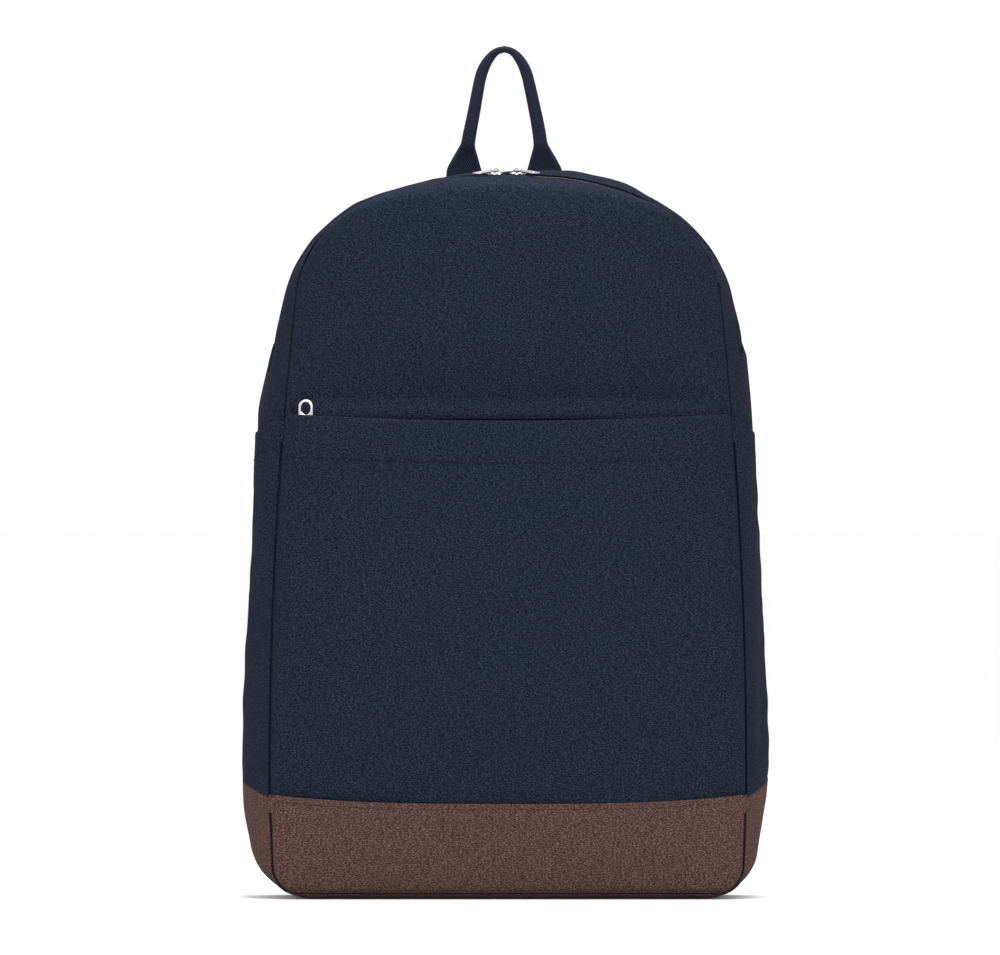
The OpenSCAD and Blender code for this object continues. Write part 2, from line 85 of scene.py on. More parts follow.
class Outline:
    """A chain of tangent arcs (radius, end angle from the top), closed along a flat bottom."""

    def __init__(self, arcs, high, low):
        ends = np.radians([0] + [a for _, a in arcs])
        radii = np.array([r for r, _ in arcs], float)
        drops = np.cos(ends[:-1]) - np.cos(ends[1:])
        others = np.arange(len(arcs)) != 4
        radii[4] = (high - low - (radii * drops)[others].sum()) / drops[4]
        self.ends, self.radii, self.low, self.last = ends, radii, low, len(arcs)
        centre = np.array([0.0, high - radii[0]])
        self.centres = [centre]
        for i in range(1, len(arcs)):
            way = np.array([math.sin(ends[i]), math.cos(ends[i])])
            centre = centre + (radii[i - 1] - radii[i]) * way
            self.centres.append(centre)
        self.centres = np.array(self.centres)

    def turn(self, u):
        i = np.minimum(np.floor(u).astype(int), self.last - 1)
        angle = self.ends[i] + (self.ends[i + 1] - self.ends[i]) * (u - i)
        return i, np.where(u >= self.last, math.pi, angle)

    def normal(self, u):
        _, angle = self.turn(np.asarray(u, float))
        return np.stack([np.sin(angle), np.cos(angle)], -1)

    def at(self, u):
        u = np.asarray(u, float)
        i, angle = self.turn(np.minimum(u, self.last))
        way = np.stack([np.sin(angle), np.cos(angle)], -1)
        p = self.centres[i] + self.radii[i][..., None] * way
        flat = np.stack([p[..., 0] * (self.last + 1 - u), np.full(u.shape, self.low)], -1)
        return np.where((u <= self.last)[..., None], p, flat)

    def u_at(self, z):
        z = np.asarray(z, float)
        lo, hi = np.zeros(z.shape), np.full(z.shape, float(self.last))
        for _ in range(24):
            mid = (lo + hi) / 2
            above = self.at(mid)[..., 1] > z
            lo, hi = np.where(above, mid, lo), np.where(above, hi, mid)
        return (lo + hi) / 2


WIDE = Outline([(230, 10), (230, 21), (86, 76), (400, 84.5), (2300, 90), (239, 102.8), (35.5, 180)],
               TOP_Z, 0.0)
SEAM = Outline([(417, 8), (126, 19.5), (67.5, 80), (67.5, 84), (2700, 90), (1200, 92.7), (16, 180)],
               TOP_Z - 9.8, 3.3)
LAST = WIDE.last
LEVEL = (3, LAST - 1)
MATCHED = SEAM.u_at(WIDE.at(np.array(LEVEL))[:, 1])


def ramp(t):
    c = np.clip(t, 0, 1)
    return c * c * (3 - 2 * c)


def match(u):
    """The seam outline's parameter that goes with u of the widest outline."""
    low = u * MATCHED[0] / LEVEL[0]
    level = SEAM.u_at(WIDE.at(np.clip(u, 0, LAST))[..., 1])
    high = MATCHED[1] + (LAST - MATCHED[1]) * (u - LEVEL[1]) / (LAST - LEVEL[1])
    return np.where(u > LAST, u, np.where(u <= LEVEL[0], low, np.where(u <= LEVEL[1], level, high)))


def front_at(z):
    up = np.clip((z - 60.0) / (TOP_Z - 60.0), 0, None) ** 1.5
    down = np.clip(1 - z / 60.0, 0, None) ** 2
    return -FRONT_Y + LEAN * up + 4 * down


def back_inset(u):
    return np.where(u < 5, 10.0, np.maximum(4.0, 10.0 - 4 * (u - 5)))


def seam_y(u):
    return front_at(SEAM.at(match(np.abs(u)))[..., 1])


def mouth_z(v):
    """Height of the slip pockets' mouth across the gusset."""
    return 288.0 - 15 * (1 - (1 - np.clip(v, 0, 1)) ** 2)


def hollow(u, v):
    """How far the side gusset sinks behind its slip pocket."""
    z = WIDE.at(np.abs(u))[..., 1]
    deep = ramp((268 - z) / 22) * ramp((z - 75) / 25) * ramp((v - 0.34) / 0.16) * ramp((0.86 - v) / 0.16)
    return 1.9 * ramp((mouth_z(v) + 2 - z) / 6) + (SIDE_SINK - 1.9) * deep


def gusset(u, y, inset=0.0, sunk=0.0):
    """Points on the gusset: u round the outline, negative on the left, and y its depth."""
    side, a = np.sign(u) + (u == 0), np.abs(u)
    inset = np.asarray(inset, float)
    f = SEAM.at(match(a)) - inset[..., None] * SEAM.normal(match(a))
    n = WIDE.normal(a)
    fuller = 3.5 * (u < 0) * ramp((334 - WIDE.at(a)[..., 1]) / 44) * ramp((WIDE.at(a)[..., 1] - 2) / 30)
    s = WIDE.at(a) - (inset - fuller)[..., None] * n
    b = s - back_inset(a)[..., None] * n
    y0 = seam_y(u)
    v = (y - y0) / (BACK_Y - y0)
    k = ramp((a - 5.6) / 1.2)
    c0, c1 = 0.45 - 0.35 * k, 0.62 + 0.32 * k
    w = np.where(v > c1, 1 - ((v - c1) / (1 - c1)) ** 2, 1.0)
    w = np.where(v < c0, 1 - (1 - v / c0) ** 2, w)[..., None]
    p = np.where((v < 0.5)[..., None], f, b) * (1 - w) + s * w - (sunk * hollow(u, v))[..., None] * n
    return np.stack([p[..., 0] * side, y, p[..., 1]], -1)


def waves(p, size, seed, count=7):
    """Smooth irregular waves between about -1 and 1 over points p, with a typical length of size."""
    rng = np.random.default_rng(seed)
    total = np.zeros(p.shape[:-1])
    for _ in range(count):
        way = rng.normal(size=p.shape[-1])
        way /= np.linalg.norm(way)
        length = size * rng.uniform(0.7, 1.6)
        total += np.sin(p @ way * (2 * math.pi / length) + rng.uniform(0, 6.3))
    return total / math.sqrt(count)


def seam_distance(x, z, shape=SEAM):
    """Distance from points on the front to the front seam."""
    u = np.concatenate([np.linspace(0, LAST, 420), np.linspace(LAST, LAST + 1, 60)])
    right = shape.at(u)
    line = np.concatenate([right, right[-2:0:-1] * [-1, 1]])
    q = np.stack([x, z], -1).reshape(-1, 2)
    found = np.empty(len(q))
    for i in range(0, len(q), 4000):
        part = q[i:i + 4000]
        near = ((part[:, None] - line[None]) ** 2).sum(-1).argmin(1)
        spans = []
        for step in (-1, 1):
            a, b = line[near], line[(near + step) % len(line)]
            way = b - a
            t = ((part - a) * way).sum(-1) / np.maximum((way ** 2).sum(-1), 1e-9)
            spans.append(np.linalg.norm(part - a - way * np.clip(t, 0, 1)[:, None], axis=1))
        found[i:i + 4000] = np.minimum(*spans)
    return found.reshape(x.shape)


# ---------------------------------------------------------------- mesh helpers
def select_only(*objects):
    for o in bpy.context.scene.objects:
        o.select_set(o in objects)
    if objects:
        bpy.context.view_layer.objects.active = objects[0]


def apply_modifier(obj, kind, **settings):
    m = obj.modifiers.new(kind.title(), kind)
    for key, value in settings.items():
        setattr(m, key, value)
    select_only(obj)
    bpy.ops.object.modifier_apply(modifier=m.name)


def in_edit_mode(obj, *steps):
    """Runs edit-mode steps on the whole mesh, everything selected."""
    select_only(obj)
    bpy.ops.object.mode_set(mode="EDIT")
    bpy.ops.mesh.select_mode(type="VERT")
    bpy.ops.mesh.select_all(action="SELECT")
    for step in steps:
        step()
    bpy.ops.object.mode_set(mode="OBJECT")


def finish_piece(obj, body, materials, stands_for=(), smooth=50):
    """Material, shading and body of a finished mesh, with the parts it stands for hidden."""
    materials = materials if isinstance(materials, (list, tuple)) else [materials]
    obj.data.materials.clear()
    for m in materials:
        obj.data.materials.append(m)
    select_only(obj)
    bpy.ops.object.shade_smooth_by_angle(angle=math.radians(smooth))
    if body:
        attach(obj, body)
    if stands_for:
        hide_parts(*stands_for)
    return obj


def set_points(obj, points):
    metres = (np.asarray(points, float).reshape(-1, 3) * MM).astype(np.float32)
    obj.data.vertices.foreach_set("co", metres.ravel())
    obj.data.update()


def vertex_values(mesh, what="co"):
    """A vector of each vertex of a mesh, its place or its normal."""
    values = np.empty(len(mesh.vertices) * 3, np.float32)
    mesh.vertices.foreach_get(what, values)
    return values.reshape(-1, 3)


def cut_away(obj, cutter):
    apply_modifier(obj, "BOOLEAN", operation="DIFFERENCE", object=cutter, solver="EXACT")
    bpy.data.objects.remove(cutter)


def add_grid(name, columns, rows, points):
    """A grid primitive laid on points, rows by columns, with a UV map in metres."""
    select_only()
    bpy.ops.mesh.primitive_grid_add(x_subdivisions=columns, y_subdivisions=rows, size=1)
    obj = bpy.context.object
    obj.name = name
    set_points(obj, points)
    across = np.linalg.norm(np.diff(points, axis=1), axis=-1)
    u = np.concatenate([np.zeros((rows + 1, 1)), np.cumsum(across, axis=1)], axis=1)
    u -= u[:, [columns // 2]]
    up = np.linalg.norm(np.diff(points, axis=0), axis=-1)
    v = np.concatenate([np.zeros((1, columns + 1)), np.cumsum(up, axis=0)], axis=0)
    v = np.repeat(v[:, [columns // 2]], columns + 1, axis=1)
    flat = np.stack([u, v], -1).reshape(-1, 2) * MM
    loops = np.empty(len(obj.data.loops), int)
    obj.data.loops.foreach_get("vertex_index", loops)
    obj.data.uv_layers.active.data.foreach_set("uv", flat[loops].astype(np.float32).ravel())
    return obj


CENTRE = np.array([0.0, -8.0, 215.0])


def normals_of(points, centre=CENTRE):
    """Unit normals of a grid of points, on the side that looks away from the middle of the bag."""
    n = np.cross(np.gradient(points, axis=1), np.gradient(points, axis=0))
    n /= np.linalg.norm(n, axis=-1, keepdims=True) + 1e-9
    return n * (1.0 if ((points - centre) * n).sum() > 0 else -1.0)


def pushed(points, amount, centre=CENTRE):
    return points + normals_of(points, centre) * np.asarray(amount)[..., None]


def cloth(name, points, thickness=1.4, centre=CENTRE):
    """A sewn sheet: points are its outer face, and its inner face has the second material."""
    rows, columns = points.shape[0] - 1, points.shape[1] - 1
    obj = add_grid(name, columns, rows, points)
    if ((points.reshape(-1, 3) - centre) * vertex_values(obj.data, "normal")).sum() < 0:
        in_edit_mode(obj, bpy.ops.mesh.flip_normals)
    obj.data.materials.append(None)
    obj.data.materials.append(None)
    apply_modifier(obj, "SOLIDIFY", thickness=thickness * MM, offset=-1.0, material_offset=1)
    return obj


def even(shape, u0, u1, k):
    """Values of u from u0 to u1 whose points lie evenly along the outline."""
    fine = np.linspace(u0, u1, 600)
    steps = np.linalg.norm(np.diff(shape.at(fine), axis=0), axis=1)
    length = np.concatenate([[0], np.cumsum(steps)])
    return np.interp(np.asarray(k) * length[-1], length, fine)


def ends_dense(n, power=1.7):
    """0..1 in n steps, closer together towards both ends."""
    q = np.linspace(-1, 1, n + 1)
    return 0.5 + 0.5 * np.sign(q) * (1 - (1 - np.abs(q)) ** power)


def unit(v):
    v = np.asarray(v, float)
    return v / (np.linalg.norm(v, axis=-1, keepdims=True) + 1e-12)


def round_section(width, thick, corner=None, count=20):
    """Points round a flat section with round edges: across and out of the ribbon."""
    corner = corner or thick / 2
    a = np.linspace(0, 2 * math.pi, count, endpoint=False) + math.pi / count
    c, s = np.cos(a), np.sin(a)
    return np.stack([np.sign(c) * (width / 2 - corner) + c * corner,
                     np.sign(s) * (thick / 2 - corner) + s * corner], -1)


def swept(name, path, across, out, section, closed=False):
    """A closed bar with the given section, one for all or one for each point of the path."""
    path, across, out = (np.asarray(v, float) for v in (path, across, out))
    section = np.asarray(section, float)
    if section.ndim == 2:
        section = np.repeat(section[None], len(path), 0)
    ring = np.concatenate([section, section[:, :1]], 1)
    points = path[:, None] + across[:, None] * ring[..., :1] + out[:, None] * ring[..., 1:]
    if closed:
        points = np.concatenate([points, points[:1]], 0)
    obj = add_grid(name, points.shape[1] - 1, points.shape[0] - 1, points)

    def weld():
        bpy.ops.mesh.remove_doubles(threshold=2e-6)
        if not closed:
            bpy.ops.mesh.select_all(action="DESELECT")
            bpy.ops.mesh.select_non_manifold()
            bpy.ops.mesh.fill()
        bpy.ops.mesh.select_all(action="SELECT")
        bpy.ops.mesh.normals_make_consistent(inside=False)

    in_edit_mode(obj, weld)
    return obj


def join_pieces(parts, name):
    select_only(*parts)
    bpy.ops.object.join()
    parts[0].name = name
    return parts[0]


def along_line(points, pitch):
    """Points and directions every pitch along a line."""
    points = np.asarray(points, float)
    lengths = np.concatenate([[0], np.cumsum(np.linalg.norm(np.diff(points, axis=0), axis=1))])
    at = np.arange(pitch / 2, lengths[-1] - pitch / 2, pitch)

    def there(d):
        return np.stack([np.interp(d, lengths, points[:, i]) for i in range(3)], -1)

    return there(at), unit(there(at + 0.5) - there(at - 0.5)), at / lengths[-1]


def small_form(size, segments=8, rings=5):
    """Points and faces of one small rounded form, size across, along and out."""
    select_only()
    bpy.ops.mesh.primitive_uv_sphere_add(segments=segments, ring_count=rings, radius=0.5)
    form = bpy.context.object
    points = np.array([v.co for v in form.data.vertices]) * size
    faces = [list(p.vertices) for p in form.data.polygons]
    bpy.data.objects.remove(form)
    return points, faces


def repeated(name, form, places, axes):
    """One mesh of copies of a small form."""
    base, faces = form
    points = [p + base @ a for p, a in zip(places, axes)]
    polygons = [[i + k * len(base) for i in f] for k in range(len(places)) for f in faces]
    mesh = bpy.data.meshes.new(name)
    mesh.from_pydata((np.concatenate(points) * MM).tolist(), [], polygons)
    obj = bpy.data.objects.new(name, mesh)
    bpy.context.scene.collection.objects.link(obj)
    return obj


def stitch_row(name, lines, outs, length=2.5, pitch=3.4, width=0.6):
    """Rows of thread stitches. Each line has the outward direction of its points."""
    form = small_form((width, length, width * 0.75))
    places, axes = [], []
    for line, out in zip(lines, outs):
        p, way, share = along_line(line, pitch)
        out = np.broadcast_to(np.asarray(out, float), (len(line), 3))
        at = np.linspace(0, 1, len(line))
        up = unit(np.stack([np.interp(share, at, out[:, i]) for i in range(3)], -1))
        side = unit(np.cross(way, up))
        places.append(p)
        axes.append(np.stack([side, way, np.cross(side, way)], 1))
    return repeated(name, form, np.concatenate(places), np.concatenate(axes))


CLOTH_FRAMES = 20


def swell_cloth(obj, voxel, pressure, cap):
    """Remeshes a closed form and blows it up a little as cloth, as stuffing does."""
    apply_modifier(obj, "REMESH", mode="VOXEL", voxel_size=voxel * MM, use_smooth_shade=True)
    start = vertex_values(obj.data)
    m = obj.modifiers.new("Cloth", "CLOTH")
    m.settings.quality = 4
    m.settings.mass = 0.15
    m.settings.use_pressure = True
    m.settings.uniform_pressure_force = pressure
    m.settings.effector_weights.gravity = 0.0
    m.point_cache.frame_start, m.point_cache.frame_end = 1, CLOTH_FRAMES
    for frame_number in range(1, CLOTH_FRAMES + 1):
        bpy.context.scene.frame_set(frame_number)
    blown = obj.evaluated_get(bpy.context.evaluated_depsgraph_get()).to_mesh()
    move = vertex_values(blown) - start
    obj.modifiers.remove(m)
    bpy.context.scene.frame_set(1)
    far = np.linalg.norm(move, axis=1, keepdims=True)
    move *= np.minimum(1.0, cap * MM / np.maximum(far, 1e-9))
    obj.data.vertices.foreach_set("co", (start + move).ravel())
    obj.data.update()


# ---------------------------------------------------------------- materials
class Finish:
    """A node material with short calls for its nodes."""

    def __init__(self, name, uv=True):
        self.material = bpy.data.materials.new(name)
        self.material.use_nodes = True
        self.tree = self.material.node_tree
        self.shader = self.tree.nodes["Principled BSDF"]
        where = self.tree.nodes.new("ShaderNodeUVMap" if uv else "ShaderNodeTexCoord")
        self.place = where.outputs["UV" if uv else "Object"]

    def node(self, kind, inputs=(), **settings):
        n = self.tree.nodes.new(kind)
        for key, value in settings.items():
            setattr(n, key, value)
        for key, value in dict(inputs).items():
            self.put(n.inputs[key], value)
        return n

    def put(self, socket, value):
        if isinstance(value, bpy.types.NodeSocket):
            self.tree.links.new(value, socket)
        else:
            socket.default_value = value

    def scaled(self, size, turn=0.0):
        """The piece's coordinates, so that one unit is size millimetres."""
        n = self.node("ShaderNodeMapping", {"Vector": self.place, "Rotation": (0, 0, turn)})
        s = size if isinstance(size, tuple) else (size,) * 3
        n.inputs["Scale"].default_value = [1 / (q * MM) for q in s]
        return n.outputs[0]

    def noise(self, size, detail=2.0, rough=0.5, turn=0.0):
        return self.node("ShaderNodeTexNoise", {
            "Vector": self.scaled(size, turn), "Scale": 1.0, "Detail": detail, "Roughness": rough}).outputs[0]

    def wave(self, size, turn=0.0, shape="SIN", distortion=0.0):
        n = self.node("ShaderNodeTexWave", {"Vector": self.scaled(size, turn), "Scale": 0.31831,
                                            "Distortion": distortion}, wave_type="BANDS", bands_direction="X")
        n.wave_profile = shape
        return n.outputs[0]

    def math(self, kind, a, b=0.5, c=0.5):
        n = self.node("ShaderNodeMath", operation=kind)
        for socket, value in zip(n.inputs, (a, b, c)):
            self.put(socket, value)
        return n.outputs[0]

    def blend(self, share, a, b):
        n = self.node("ShaderNodeMix", data_type="RGBA")
        self.put(n.inputs[0], share)
        for socket, value in ((n.inputs[6], a), (n.inputs[7], b)):
            self.put(socket, value if isinstance(value, bpy.types.NodeSocket) else (*value, 1.0))
        return n.outputs[2]

    def steps(self, value, low, high, out_low=0.0, out_high=1.0):
        n = self.node("ShaderNodeMapRange", {"Value": value, "From Min": low, "From Max": high,
                                             "To Min": out_low, "To Max": out_high})
        return n.outputs[0]

    def bump(self, height, depth, strength=1.0, under=None):
        n = self.node("ShaderNodeBump", {"Height": height, "Distance": depth * MM, "Strength": strength})
        if under:
            self.put(n.inputs["Normal"], under)
        return n.outputs[0]

    def set(self, **values):
        for key, value in values.items():
            self.put(self.shader.inputs[key.replace("_", " ")], value)
        return self.material


def canvas(name, tone, light, dark, yarn=0.75, fleck=0.9, uv=True):
    """Plain-woven canvas: crossing yarns that vary in thickness and shade, with pale flecks."""
    f = Finish(name, uv)
    warp = f.wave(yarn, 0.0)
    weft = f.wave(yarn, math.pi / 2)
    thick = f.noise((yarn * 1.1, yarn * 7, 1), 2.0)
    thin = f.noise((yarn * 7, yarn * 1.1, 1), 2.0)
    cloth = f.math("MULTIPLY", f.math("ADD", warp, weft), 0.5)
    yarns = f.math("ADD", f.math("MULTIPLY", thick, 0.5), f.math("MULTIPLY", thin, 0.5))
    speck = f.noise((yarn * 1.7, yarn * 0.75, 1), 2.0, 0.7, 0.7)
    cloud = f.noise(22.0, 3.0)
    mixed = f.math("ADD", f.math("MULTIPLY", speck, 0.72), f.math("MULTIPLY", yarns, 0.28))
    pale = f.steps(mixed, 0.50, 0.59)
    low = f.steps(mixed, 0.50, 0.41)
    shade = f.blend(f.math("MULTIPLY", pale, fleck), tone, light)
    shade = f.blend(f.math("MULTIPLY", low, fleck), shade, dark)
    wear = f.steps(cloud, 0.36, 0.64, 0.07, 0.0)
    colour = f.blend(wear, shade, dark)
    height = f.math("ADD", f.math("MULTIPLY", cloth, 0.6), f.math("MULTIPLY", mixed, 1.5))
    normal = f.bump(height, 0.2, 0.9)
    return f.set(Base_Color=colour, Roughness=f.steps(yarns, 0.3, 0.7, 0.86, 0.99), Normal=normal,
                 Specular_IOR_Level=0.03)


def webbing(name, tone, light, dark):
    """Flat woven webbing: a herringbone of fine ribs."""
    f = Finish(name)
    parts = f.node("ShaderNodeSeparateXYZ", {"Vector": f.scaled(1.0)})
    column = f.math("FRACT", f.math("MULTIPLY", parts.outputs[0], 0.1))
    fold = f.math("ABSOLUTE", f.math("SUBTRACT", column, 0.5))
    lines = f.math("ADD", f.math("MULTIPLY", parts.outputs[1], 4.2), f.math("MULTIPLY", fold, 46.0))
    rib = f.math("MULTIPLY_ADD", f.math("SINE", lines), 0.5, 0.5)
    fuzz = f.noise(0.8, 3.0, 0.7)
    share = f.steps(f.math("ADD", f.math("MULTIPLY", rib, 0.6), f.math("MULTIPLY", fuzz, 0.4)), 0.3, 0.75)
    colour = f.blend(share, dark, f.blend(f.steps(fuzz, 0.5, 0.7), tone, light))
    normal = f.bump(f.math("ADD", rib, f.math("MULTIPLY", fuzz, 0.5)), 0.22, 0.8)
    return f.set(Base_Color=colour, Roughness=0.8, Normal=normal, Specular_IOR_Level=0.08)


def plain(name, tone, rough, metallic=0.0, grain=0.4, depth=0.02, spread_rough=0.12, specular=0.5):
    """Moulded plastic, metal or thread: fine grain with a little variation in gloss and shade."""
    f = Finish(name, uv=False)
    fine = f.noise(grain, 4.0, 0.6)
    broad = f.noise(9.0, 3.0)
    darker = tuple(c * 0.72 for c in tone)
    colour = f.blend(f.steps(broad, 0.35, 0.65), darker, tone)
    rough_map = f.steps(f.math("ADD", f.math("MULTIPLY", fine, 0.5), f.math("MULTIPLY", broad, 0.5)),
                        0.35, 0.65, max(0.03, rough - spread_rough), min(1.0, rough + spread_rough))
    return f.set(Base_Color=colour, Roughness=rough_map, Metallic=metallic, Normal=f.bump(fine, depth, 0.6),
                 Specular_IOR_Level=specular)


def air_mesh(name, tone, dark):
    """Knitted spacer mesh: small open cells."""
    f = Finish(name, uv=False)
    cells = f.node("ShaderNodeTexVoronoi", {"Vector": f.scaled(2.2), "Scale": 1.0}, feature="F1")
    hole = f.steps(cells.outputs["Distance"], 0.12, 0.42)
    colour = f.blend(hole, dark, tone)
    return f.set(Base_Color=colour, Roughness=0.85, Normal=f.bump(hole, 0.5, 0.9), Specular_IOR_Level=0.06)


NAVY_TONES = (0.0079, 0.0113, 0.0204), (0.0250, 0.0320, 0.0510), (0.0025, 0.0037, 0.0077)
NAVY = canvas("navy_canvas", *NAVY_TONES)
NAVY_BODY = canvas("navy_canvas_object", *NAVY_TONES, uv=False)
BROWN = canvas("brown_canvas", (0.057, 0.029, 0.0245), (0.147, 0.0935, 0.081), (0.022, 0.011, 0.0095))
LINING_TONES = (0.028, 0.032, 0.044), (0.055, 0.060, 0.075), (0.016, 0.018, 0.026)
LINING = canvas("lining", *LINING_TONES, yarn=0.4, fleck=0.3)
LINING_BODY = canvas("lining_object", *LINING_TONES, yarn=0.4, fleck=0.3, uv=False)
WEB = webbing("navy_webbing", (0.016, 0.021, 0.040), (0.052, 0.062, 0.095), (0.003, 0.004, 0.009))
TAPE = canvas("zipper_tape", (0.016, 0.018, 0.026), (0.035, 0.038, 0.048), (0.007, 0.008, 0.011), yarn=0.5)
COIL = plain("coil_nylon", (0.012, 0.012, 0.014), 0.38, grain=0.3)
NICKEL = plain("nickel", (0.66, 0.66, 0.67), 0.24, metallic=1.0, grain=0.25, depth=0.006, spread_rough=0.10)
LOCK = plain("moulded_black", (0.014, 0.014, 0.016), 0.45, grain=0.35, depth=0.03)
MESH = air_mesh("air_mesh", (0.0105, 0.0125, 0.0190), (0.0020, 0.0024, 0.0036))
THREAD = plain("navy_thread", (0.0070, 0.0095, 0.0180), 0.8, grain=0.3, specular=0.05)
BROWN_THREAD = plain("brown_thread", (0.045, 0.026, 0.021), 0.8, grain=0.3, specular=0.05)
BOARD = plain("stiff_board", (0.03, 0.03, 0.032), 0.6)

# ---------------------------------------------------------------- front of the bag
CORNER = 2.42            # where the sides of the front meet its arched top


def front_grid(s, z_side, arched_from=210.0):
    """x and z of front points: s across from -1 to 1, z_side the height at the side seam.
    Rows bend up into the arched top edge."""
    top = SEAM.at(np.array(CORNER))
    side = SEAM.at(SEAM.u_at(z_side))
    g = ramp((z_side - arched_from) / (top[1] - arched_from))
    arch = SEAM.at(even(SEAM, 0.0, CORNER, np.abs(s)))
    x_arch = np.sign(s) * arch[..., 0] * side[..., 0] / top[0]
    x = s * side[..., 0] * (1 - g) + x_arch * g
    return x, z_side + (arch[..., 1] - top[1]) * g


def fold_profile(length, hem, radius, d):
    """A sheet that runs up for length, rolls over and comes back down by hem.
    Returns the height and the inward offset at distance d along it."""
    roll = math.pi * radius
    on_roll = np.clip(d - length, 0, roll) / radius
    down = np.clip(d - length - roll, 0, hem)
    return np.minimum(d, length) + radius * np.sin(on_roll) - down, radius * (1 - np.cos(on_roll))


def seam_fall(d, depth, width):
    """How far a panel drops back at distance d from its seam."""
    return depth * np.exp(-np.maximum(d, 0) / width)


def turned_edge(share, hem, roll):
    """An edge that is turned under, with share 0 to 1 along it: the angle round the roll
    and the flat length behind it."""
    back = np.clip(share, 0, 1) * (hem + math.pi * roll)
    return np.clip(back, 0, math.pi * roll) / roll, np.clip(back - math.pi * roll, 0, hem)


def groove_at(distance, width):
    """1 on a row of stitching and 0 away from it."""
    return np.exp(-(distance / width) ** 2)


def make_front_panel():
    columns, rows = 150, 190
    top = SEAM.at(np.array(CORNER))[1]
    s = np.repeat((2 * ends_dense(columns) - 1)[None], rows + 1, 0)
    low = 5.0
    climb = 1 - (1 - np.linspace(0, 1, rows + 1)) ** 1.25
    z_side = low + (top - low) * np.repeat(climb[:, None], columns + 1, 1)
    x, z = front_grid(s, z_side)
    d = seam_distance(x, z)
    k = np.clip((z - 302.4) / 124.3, 0, 1)
    swell = 7.0 * 4 * k * (1 - k) * (1 - s * s)
    tight = seam_depth(z)
    y = front_at(z) - 2.0 - swell + seam_fall(d, 5.0, 0.75) * tight + seam_fall(d, 1.2, 3.5) * (1 - tight)
    flat = np.stack([x, y, z], -1)
    free = ramp(d / 16)
    folds = 0.75 * waves(flat * [1, 1, 0.5], 95, 3) + 0.32 * waves(flat * [0.7, 1, 1], 38, 4)
    corner = np.hypot(x - 96, z - 372)
    pull = 0.9 * np.exp(-(corner / 34) ** 2) * np.sin((x * 0.55 + z * 0.84) / 4.6)
    edge = 0.35 * np.exp(-d / 9) * np.sin((x + z * 1.3) / 2.1 + 2 * waves(flat, 30, 5)) * ramp(d / 3)
    behind_pocket = ramp((z - 302) / 30)
    y = y - (folds * free + pull * ramp(d / 8) * free) * behind_pocket - edge
    obj = cloth("front_panel", np.stack([x, y, z], -1), 1.4)
    finish_piece(obj, None, [NAVY, LINING], ("flap_panel", "pocket_back_panel"))
    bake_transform(obj)


def make_front_pocket():
    columns, rows = 150, 130
    low, hem, roll = 50.0, 24.0, 1.5
    length = POCKET_TOP - roll - low
    total = length + math.pi * roll + hem
    t = np.concatenate([np.linspace(0, (length - 1) / total, rows - 26),
                        np.linspace((length + 0.2) / total, 1, 27)])
    d_up, s = np.meshgrid(t * total, 2 * ends_dense(columns, 2.2) - 1, indexing="ij")
    height, inward = fold_profile(length, hem, roll, d_up)
    z0 = low + height
    side = SEAM.at(SEAM.u_at(np.clip(z0, 4, 400)))[..., 0] - 1.3
    k = np.clip((z0 - 51) / 239, 0, 1.0)
    bow = 3.0 * (1 - k) + 11.5 * k + (13.4 - 7.25) * 4 * k * (1 - k)
    x = s * side
    z = z0 - POCKET_SAG * ramp(k) * (1 - s * s)
    d = side - np.abs(x)
    full = 1 - np.abs(s) ** (7 + 9 * ramp((z0 - 250) / 35))
    y = front_at(z) - 4.0 - bow * full + seam_fall(d, 4.6, 0.75) + inward
    flat = np.stack([x, y, z], -1)
    free = ramp(d / 22)
    folds = 0.8 * waves(flat * [1, 0, 0.55], 120, 13) + 0.34 * waves(flat * [0.6, 0, 1], 46, 14)
    rises = np.exp(-((z - 200) / 90) ** 2)
    near_sides = np.exp(-((np.abs(x) - 96) / 26) ** 2)
    diagonal = 0.7 * rises * near_sides * np.sin((z * 0.9 + np.abs(x) * 0.5) / 9 + 1.2 * waves(flat, 60, 15))
    ripple = 0.3 * np.exp(-d / 10) * np.sin(z / 2.6 + 2.2 * waves(flat, 34, 16)) * ramp(d / 3)
    on_face = 1 - np.clip(inward / (2 * roll), 0, 1)
    hem_line = POCKET_SAG * (1 - s * s)
    below = (POCKET_TOP - hem_line) - z
    groove = 0.55 * groove_at(below - POCKET_SEAM, 1.3) * on_face
    puffed = 0.35 * ramp(below / 6) * ramp((POCKET_SEAM - below) / 4) * on_face
    pinch = 0.22 * groove_at(below - POCKET_SEAM, 5.0) * np.sin(x / 1.15 + 2 * waves(flat, 22, 17)) * on_face
    y = y - (folds + diagonal) * free - ripple + (groove - puffed - pinch) * ramp(d / 9)
    points = np.stack([x, y, z], -1)
    obj = cloth("front_pocket", points, 1.4)
    finish_piece(obj, "bag", [NAVY, LINING], ("pocket_panel",))
    return points


